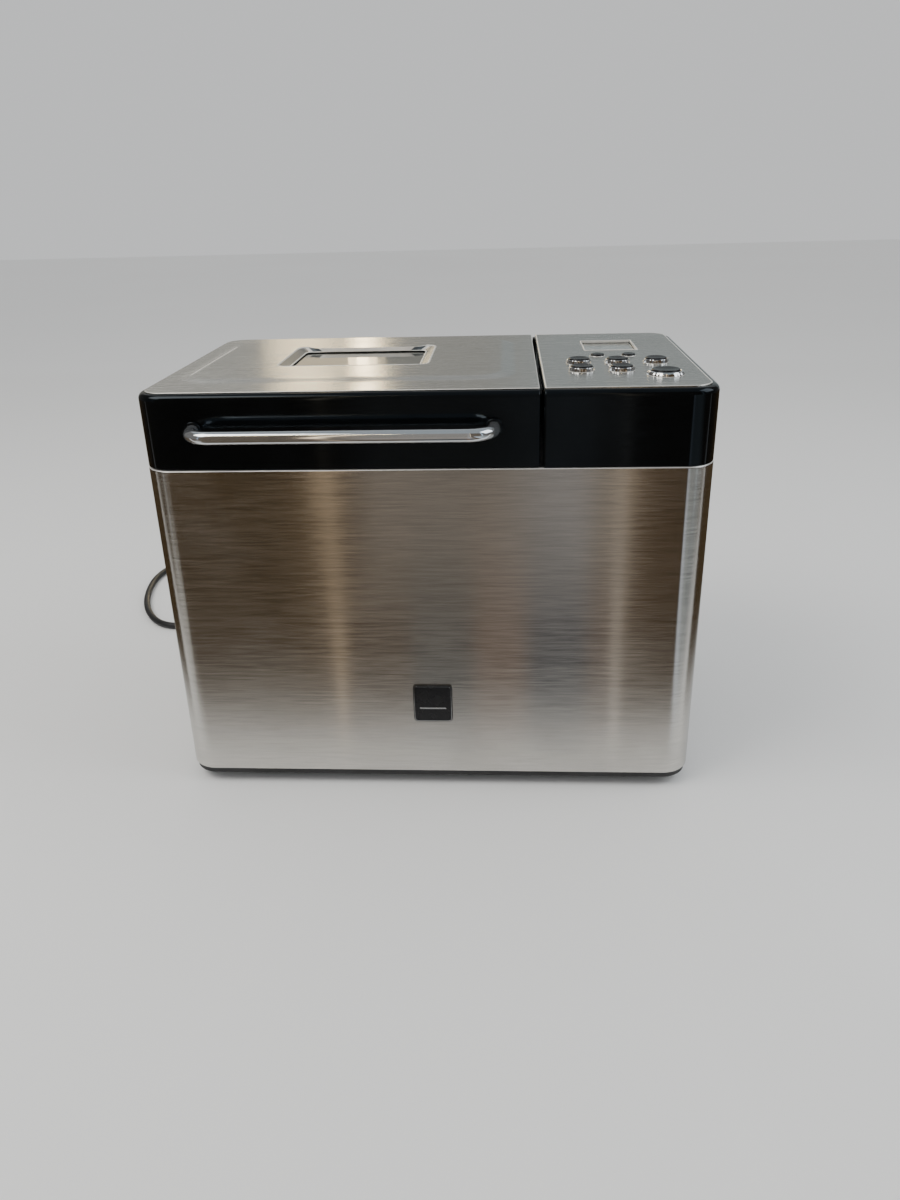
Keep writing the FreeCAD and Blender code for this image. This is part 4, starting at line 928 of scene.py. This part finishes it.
def make_lid_top():
    """Brushed steel lid top with its raised field and the bevelled window frame."""
    along, corner, split, edge = 20, 14 * MM, 1 * MM, 0.45 * MM
    base, top = LID_TOP.low.z, LID_TOP.high.z
    skin, sill = base + 0.8 * MM, base + 0.12 * MM
    area = LID_TOP.area
    levels = [ring(area, base, corner, split, edge, along=along)]
    levels += [ring(area, z, corner, split, x, along=along)
               for x, z in arc(edge, skin - edge, edge, 180, 90, 5)]
    field = area_at(PAN.mid.x, BODY_MID + 3 * MM, 226 * MM, 172 * MM)
    slope, steps = 11 * MM, 10
    fold = len(levels)
    levels += [ring(field, skin + (top - skin) * smooth_step(i / steps), 26 * MM,
                    inset=slope * i / steps, along=along) for i in range(steps + 1)]
    brim = in_mm((0.95, 0, 0), (0.75, 0, 0.2), (0.45, 0, 0.4), (0.1, 0, 0.4),
                 (-0.2, -0.05, 0.15), (-0.45, -0.2, 0))
    bead = in_mm((1.15, 0.12), (0.95, 0.3), (0.6, 0.38), (0.25, 0.26), (0, 0))
    outline = len(levels)
    levels += [window_ring(BEVEL + out, top + z, lift, along) for out, z, lift in brim]
    bevel = len(levels) - 1
    levels += [window_ring(out, sill + z, 0.0, along) for out, z in bead]
    levels.append(window_ring(0.1 * MM, base, 0.0, along))
    made = loft("lid_top", levels, wrap=True, sharp=30)
    flat_map(made)
    finish_piece(made, "brushed_steel", "lid", ["lid_skin", "window_bezel"], "brushed_top")

    crease = fold + round(0.7 * steps)
    bright = (*range(1, fold - 1), *range(outline, bevel), *range(bevel + 1, bevel + 5))

    def is_bright(face):
        """The rim, the frame's outlines, its back bevel and the fold at the left, each with a painted highlight.
        """
        band = face.index // len(levels[0])
        back_bevel = band == bevel and face.normal.y < -0.3
        left_fold = (band in (crease, crease + 1) and face.normal.x < -0.05
                     and abs(face.center.y - LID_TOP.mid.y) < 58 * MM)
        return band in bright or back_bevel or left_fold

    # Painted highlight on the rim, the frame's outlines, the back bevel and the left fold.
    trim(made, "highlight_paint", is_bright)
    trim(made, "shaded_steel",
         lambda face: face.index // len(levels[0]) == bevel and abs(face.normal.x) > 0.2)


def make_window():
    """Dark pane whose raised middle fills the opening."""
    pane = Span("window_glass")
    step, edge, gap = pane.low.z + 3 * MM, 0.4 * MM, 0.35 * MM
    levels = [ring(pane.area, z, 6 * MM) for z in (pane.low.z, step)]
    levels.append(ring(window_area(), step, 5 * MM, inset=gap))
    levels += [ring(window_area(), z, 5 * MM, inset=x)
               for x, z in arc(gap + edge, pane.high.z - edge, edge, 180, 90, 4)]
    finish_piece(loft("window_pane", levels), "dark_glass", "lid", ["window_glass"])


def make_handle():
    """Chrome bar handle on its two black rings."""
    span, bosses = Span("lid_handle"), Span("handle_bosses")
    radius, edge = 4 * MM, 0.8 * MM
    left, right, front, z = (span.low.x + radius, span.high.x - radius, span.low.y + radius, span.mid.z)
    corners = [Vector(p) for p in ((left, span.high.y, z), (left, front, z), (right, front, z),
                                   (right, span.high.y, z))]
    bar = rod("handle_bar", bent(corners, 16 * MM, 16), radius, 36)
    finish_piece(bar, "chrome", "lid", ["lid_handle"], "bar_chrome")
    outer, deep = bosses.size.z / 2, bosses.size.y
    profile = [(radius, 0), (outer, 0), (outer, edge - deep)]
    profile += arc(outer - edge, edge - deep, edge, 0, -90, 5) + [(radius, -deep)]
    rings = [lathe("boss", profile, (x, bosses.high.y, z), "y", closed=True) for x in (left, right)]
    finish_piece(join("handle_rings", rings), "gloss_black", "lid", ["handle_bosses"])


# ---------------------------------------------- control panel

def key_radius(key):
    """A key's cap, from the node's flange, which stands out by 1.5 mm all round."""
    return Span(key).size.x / 2 - 1.5 * MM


def panel_holes():
    """Tools for the display's opening and the keys' holes."""
    display, top = Span("lcd_lens"), HOUSING.high.z
    deep, clear = 20 * MM, 2 * MM
    tools = [plate("display_hole", area_at(display.mid.x, display.mid.y, 37.6 * MM, 43.6 * MM),
                   top - deep, top + clear, 1.5 * MM, 0.2 * MM)]
    for key in KEYS:
        span, hole = Span(key), key_radius(key) + 0.3 * MM
        tools.append(lathe("key_hole", [(hole, -deep), (hole, clear)], (span.mid.x, span.mid.y, top)))
    return tools


def make_panel_cover():
    """Gloss black housing beside the lid, its outer top edges rounded."""
    cover = plate("panel_cover", HOUSING.area, HOUSING.low.z, HOUSING.high.z, 1.5 * MM,
                  4 * MM, 19.5 * MM, low_edge=0.4 * MM, split="left")
    cut(cover, panel_holes())
    finish_piece(cover, "gloss_black", replaces=["control_housing"])


def make_gap_web():
    """Black web that closes the back end of the gap between the lid and the housing."""
    area = (LID.high.x + 0.35 * MM, HOUSING.low.x + 0.1 * MM, BACK - 16 * MM, BACK - 8 * MM)
    web = plate("gap_web", area, HOUSING.low.z, HOUSING.high.z - 0.6 * MM, 0.2 * MM, 0.2 * MM)
    finish_piece(web, "base_black")


def make_panel_top():
    """Brushed steel top of the control panel, with its edging and display border in a painted highlight."""
    area, level, display = PANEL_TOP.area, PANEL_TOP.high.z, Span("lcd_lens")
    corner, split = 14 * MM, 1 * MM
    top = plate("panel_top", area, PANEL_TOP.low.z, level, split, 0.55 * MM, corner)
    cut(top, panel_holes())
    flat_map(top)
    finish_piece(top, "brushed_steel", replaces=["control_skin"], look="brushed_top")
    hem = in_mm((0.1, -0.45), (0.25, -0.05), (0.55, 0.12), (0.85, 0.12), (1.1, -0.02), (1.1, -0.45))
    edging = beading("panel_edging", area, level, hem, split, corner)
    # The edging's light colour is a painted highlight.
    finish_piece(edging, "chrome", look="highlight_paint")
    rim = area_at(display.mid.x, display.mid.y, 39.4 * MM, 45.4 * MM)
    section = in_mm((0, 0), (0.1, 0.25), (0.45, 0.4), (0.9, 0.3), (1.1, -0.1), (1.1, -1.4),
                    (0.95, -1.4), (0.9, 0))
    border = beading("display_border", rim, level, section, 1.6 * MM)
    # The border's light colour is a painted highlight.
    finish_piece(border, "chrome", look="highlight_paint")


def make_display():
    """Clear lens over the unlit display."""
    lens = Span("lcd_lens")
    piece = plate("display_lens", lens.area, lens.low.z, lens.high.z, 1.2 * MM, 0.3 * MM,
                  low_edge=0.2 * MM)
    finish_piece(piece, "clear_lens", replaces=["lcd_lens"])


def make_keys():
    """Key caps with dished tops, each in a flared chrome ring whose low faces have a painted highlight."""
    rings = []
    level = PANEL_TOP.high.z
    flange, edge = HOUSING.high.z - 5 * MM, 0.9 * MM
    flange_top = flange + 1.6 * MM
    for key in KEYS:
        span, radius = Span(key), key_radius(key)
        small = radius < 6 * MM
        top, dish = span.high.z, 0.4 * MM if small else 0.9 * MM
        stem, wide, lip = 2 * MM, radius + 1.5 * MM, radius - edge
        profile = [(stem, span.low.z), (stem, flange), (wide, flange), (wide, flange_top),
                   (radius, flange_top)]
        profile += arc(lip, top - edge, edge, 0, 85, 6)
        profile += [(lip * share, top - dish * (1 - share ** 2)) for share in
                    (0.93, 0.8, 0.65, 0.5, 0.35, 0.2, 0.06)]
        cap = lathe(f"{key}_cap", profile, (span.mid.x, span.mid.y, 0), steps=64)
        finish_piece(cap, "key_black", key, [key])
        rings.append(make_ring(span, radius, level, small))
    made = join("key_rings", rings)
    finish_piece(made, "chrome", replaces=["button_bezels"])
    # The low faces of each ring, nearly all of a small one, get a painted highlight.
    trim(made, "highlight_paint", lambda face: face.center.z < level + 0.34 * MM)


def make_ring(span, radius, level, small):
    """The flared ring round one key, with shallow flutes on the skirts of the large ones."""
    bore = radius + 0.3 * MM
    if small:
        flare, tall = 1.13, 0.35 * MM
    else:
        flare, tall = 1.34 if radius > 8 * MM else 1.235, Span("button_bezels").high.z - level
    width = radius * flare - bore
    skirt = [(1.0, 0.0), (0.97, 0.10), (0.88, 0.34), (0.76, 0.60), (0.62, 0.82), (0.48, 0.95),
             (0.34, 1.0), (0.18, 0.97), (0.05, 0.84), (0.0, 0.6)]
    section = [(bore + width * x, tall * z) for x, z in skirt] + [(bore, -0.5 * MM)]
    made = lathe("ring", section, (span.mid.x, span.mid.y, level), steps=96, closed=True, sharp=60)
    if small:
        return made
    flutes, depth = 20, 0.34 * MM
    for vertex in made.data.vertices:
        x, y = vertex.co.x - span.mid.x, vertex.co.y - span.mid.y
        share = (hypot(x, y) - bore) / width
        dent = depth * smooth_step((share - 0.45) / 0.3) * (1 - cos(flutes * atan2(y, x))) / 2
        vertex.co.x -= dent * x / hypot(x, y)
        vertex.co.y -= dent * y / hypot(x, y)
    return made


# ---------------------------------------------- rear, feet, pan and cord

def make_feet():
    """Rubber feet, tapered and hollow underneath."""
    span, base, half = Span("rubber_feet"), Span("base_pan").low.z, 10 * MM
    profile = in_mm((3, 2), (5.5, 0.6), (6.4, 0), (7.9, 0), (8.5, 0.5), (8.9, 2.5))
    profile += [(half - 0.5 * MM, base - 1 * MM), (half - 0.2 * MM, base), (3 * MM, base)]
    feet = [lathe("foot", profile, (x, y, 0)) for x in (span.low.x + half, span.high.x - half)
            for y in (span.low.y + half, span.high.y - half)]
    finish_piece(join("feet", feet), "rubber", replaces=["rubber_feet"])


def make_louvres():
    """Hoods over the cooling slots of the back panel, each sloping down and outwards."""
    columns, rows, pitch = (-70 * MM, 0, 70 * MM), 6, 9 * MM
    low, reach, half = WRAP.low.z + 151.8 * MM, 2.2 * MM, 28.5 * MM
    section = [(-0.3, 3.9), (-0.3, 1.3), (0.15, 1.1), (0.86, -1.0), (1.0, -0.8), (0.95, 0.2),
               (0.3, 2.7), (0.0, 3.9)]
    ends = [(-half - 1.6 * MM, 0.02), (-half - 0.9 * MM, 0.6), (-half, 1.0), (half, 1.0),
            (half + 0.9 * MM, 0.6), (half + 1.6 * MM, 0.02)]
    hoods = []
    for row in range(rows):
        for x in columns:
            levels = [[Vector((x + side, BACK + out * reach * (share if out > 0 else 1),
                               low + row * pitch + up * MM)) for out, up in section]
                      for side, share in ends]
            hoods.append(loft("hood", levels))
    finish_piece(join("rear_louvre_hoods", hoods), "painted_steel")


def make_back_screws():
    """Pan-head screws of the back panel, each with a cross recess."""
    wide, tall, edge, steps = 3.65 * MM, 2.0 * MM, 0.9 * MM, 48
    arm, slot, deep = 2.0 * MM, 0.42 * MM, 1.3 * MM
    rounds = [(wide, 0.0), (wide, 0.55 * tall)]
    rounds += [(wide - edge + a, 0.55 * tall + 0.9 * b) for a, b in arc(0, 0, edge, 20, 80, 4)]
    heads = []
    for x in (-120 * MM, 120 * MM):
        for z in (WRAP.low.z + 7.5 * MM, WRAP.low.z + 216 * MM):
            levels = []
            for radius, out in rounds + [(arm, tall), (arm, tall), (0.8 * arm, tall - deep)]:
                crossed = len(levels) >= len(rounds)
                level = []
                for k in range(steps):
                    angle = 2 * pi * (k + 0.5) / steps
                    a, b = cos(angle), sin(angle)
                    reach = min(radius, slot / min(abs(a), abs(b))) if crossed else radius
                    level.append(Vector((x + reach * a, BACK + out, z + reach * b)))
                levels.append(level)
            heads.append(loft("screw", levels, first=False))
    finish_piece(join("rear_screw_heads", heads), "steel_bright")


def make_pan_bead():
    """Rolled bead round the bread pan's rim."""
    rim = area_at(PAN.mid.x, PAN.mid.y, 193 * MM, 143 * MM)
    top, radius = PAN.low.z + 130 * MM, 1.7 * MM
    bead = beading("pan_rim_bead", rim, top - 0.9 * MM,
                   arc(radius - 0.1 * MM, 0, radius, 0, 330, 11), 33 * MM)
    finish_piece(bead, "pan_coating", "pan")


def make_relief():
    """Ribbed strain relief where the cord leaves the back."""
    span = Span("cord_gland")
    flange, length, ribs = 2.0 * MM, span.high.y - BACK - 2.1 * MM, 7
    profile = in_mm((3.4, 0), (8.4, 0), (9, 0.5), (9, 1.3)) + [(8.3 * MM, flange), (6.6 * MM, flange)]
    pitch, groove = length / ribs, 0.9 * MM
    for i in range(ribs):
        radius, at = (6.5 - 2.5 * i / ribs) * MM, flange + pitch * i
        profile += [(radius, at + 0.10 * pitch), (radius, at + 0.52 * pitch),
                    (radius - groove, at + 0.62 * pitch), (radius - groove, at + 0.94 * pitch)]
    profile += [(3.9 * MM, flange + length), (3.3 * MM, flange + length)]
    relief = lathe("strain_relief", profile, (span.mid.x, BACK + 0.1 * MM, span.mid.z), "y")
    return finish_piece(relief, "cord_black", replaces=["cord_gland"])


def make_plug():
    """Moulded plug with grip ridges; its bright pins stay as the CAD model has them."""
    tail = Span("cord_tail")
    low = Vector((tail.high.x, tail.low.y + 3.4 * MM, tail.mid.z))
    way = Vector((20, -3, 0)).normalized()
    side = Vector((0, 0, 1)).cross(way)
    shape = [(0.3, 3.4, 3.4, 1.0), (6, 3.7, 3.7, 1.0), (12, 4.4, 4.4, 1.0), (16, 6.4, 5.6, 0.85),
             (19, 9.6, 7.4, 0.7), (22, 11.5, 8.8, 0.62)]
    for i in range(7):
        swell, groove = 0.05 * i, i % 2
        shape.append((25 + 2 * i, 12 + swell - 0.75 * groove, 9.3 + swell - 0.65 * groove, 0.6))
    shape += [(42.6, 12.3, 9.6, 0.6), (43.6, 11.8, 9.1, 0.6), (44.0, 10.9, 8.2, 0.6)]
    levels, steps = [], 40
    for along, wide, tall, power in shape:
        level = []
        for i in range(steps):
            a, b = cos(2 * pi * i / steps), sin(2 * pi * i / steps)
            a, b = copysign(abs(a) ** power, a), copysign(abs(b) ** power, b)
            level.append(low + way * along * MM + side * a * wide * MM + Vector((0, 0, b * tall * MM)))
        levels.append(level)
    plug = loft("plug_body", levels, sharp=50)
    return finish_piece(plug, "cord_black", replaces=["mains_plug"])


def declare_cord(cord, relief, plug):
    """Attach the cord to the root with its finish, and hide the CAD model's cord parts."""
    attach(cord, "root")
    cord.data.materials.append(FINISH["cord_black"])
    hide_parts("cord_tube", "cord_coil", "cord_tail")


# ---------------------------------------------- everything together

make_camera()
cord = make_cord()
FINISH = make_materials()
paint_cad_nodes()
make_wrap()
make_badge()
make_lid_cover()
make_lid_top()
make_window()
make_handle()
make_panel_cover()
make_gap_web()
make_panel_top()
make_display()
make_keys()
make_feet()
make_louvres()
make_back_screws()
make_pan_bead()
declare_cord(cord, make_relief(), make_plug())
make_floor()
make_world()
make_cards()
make_lights()
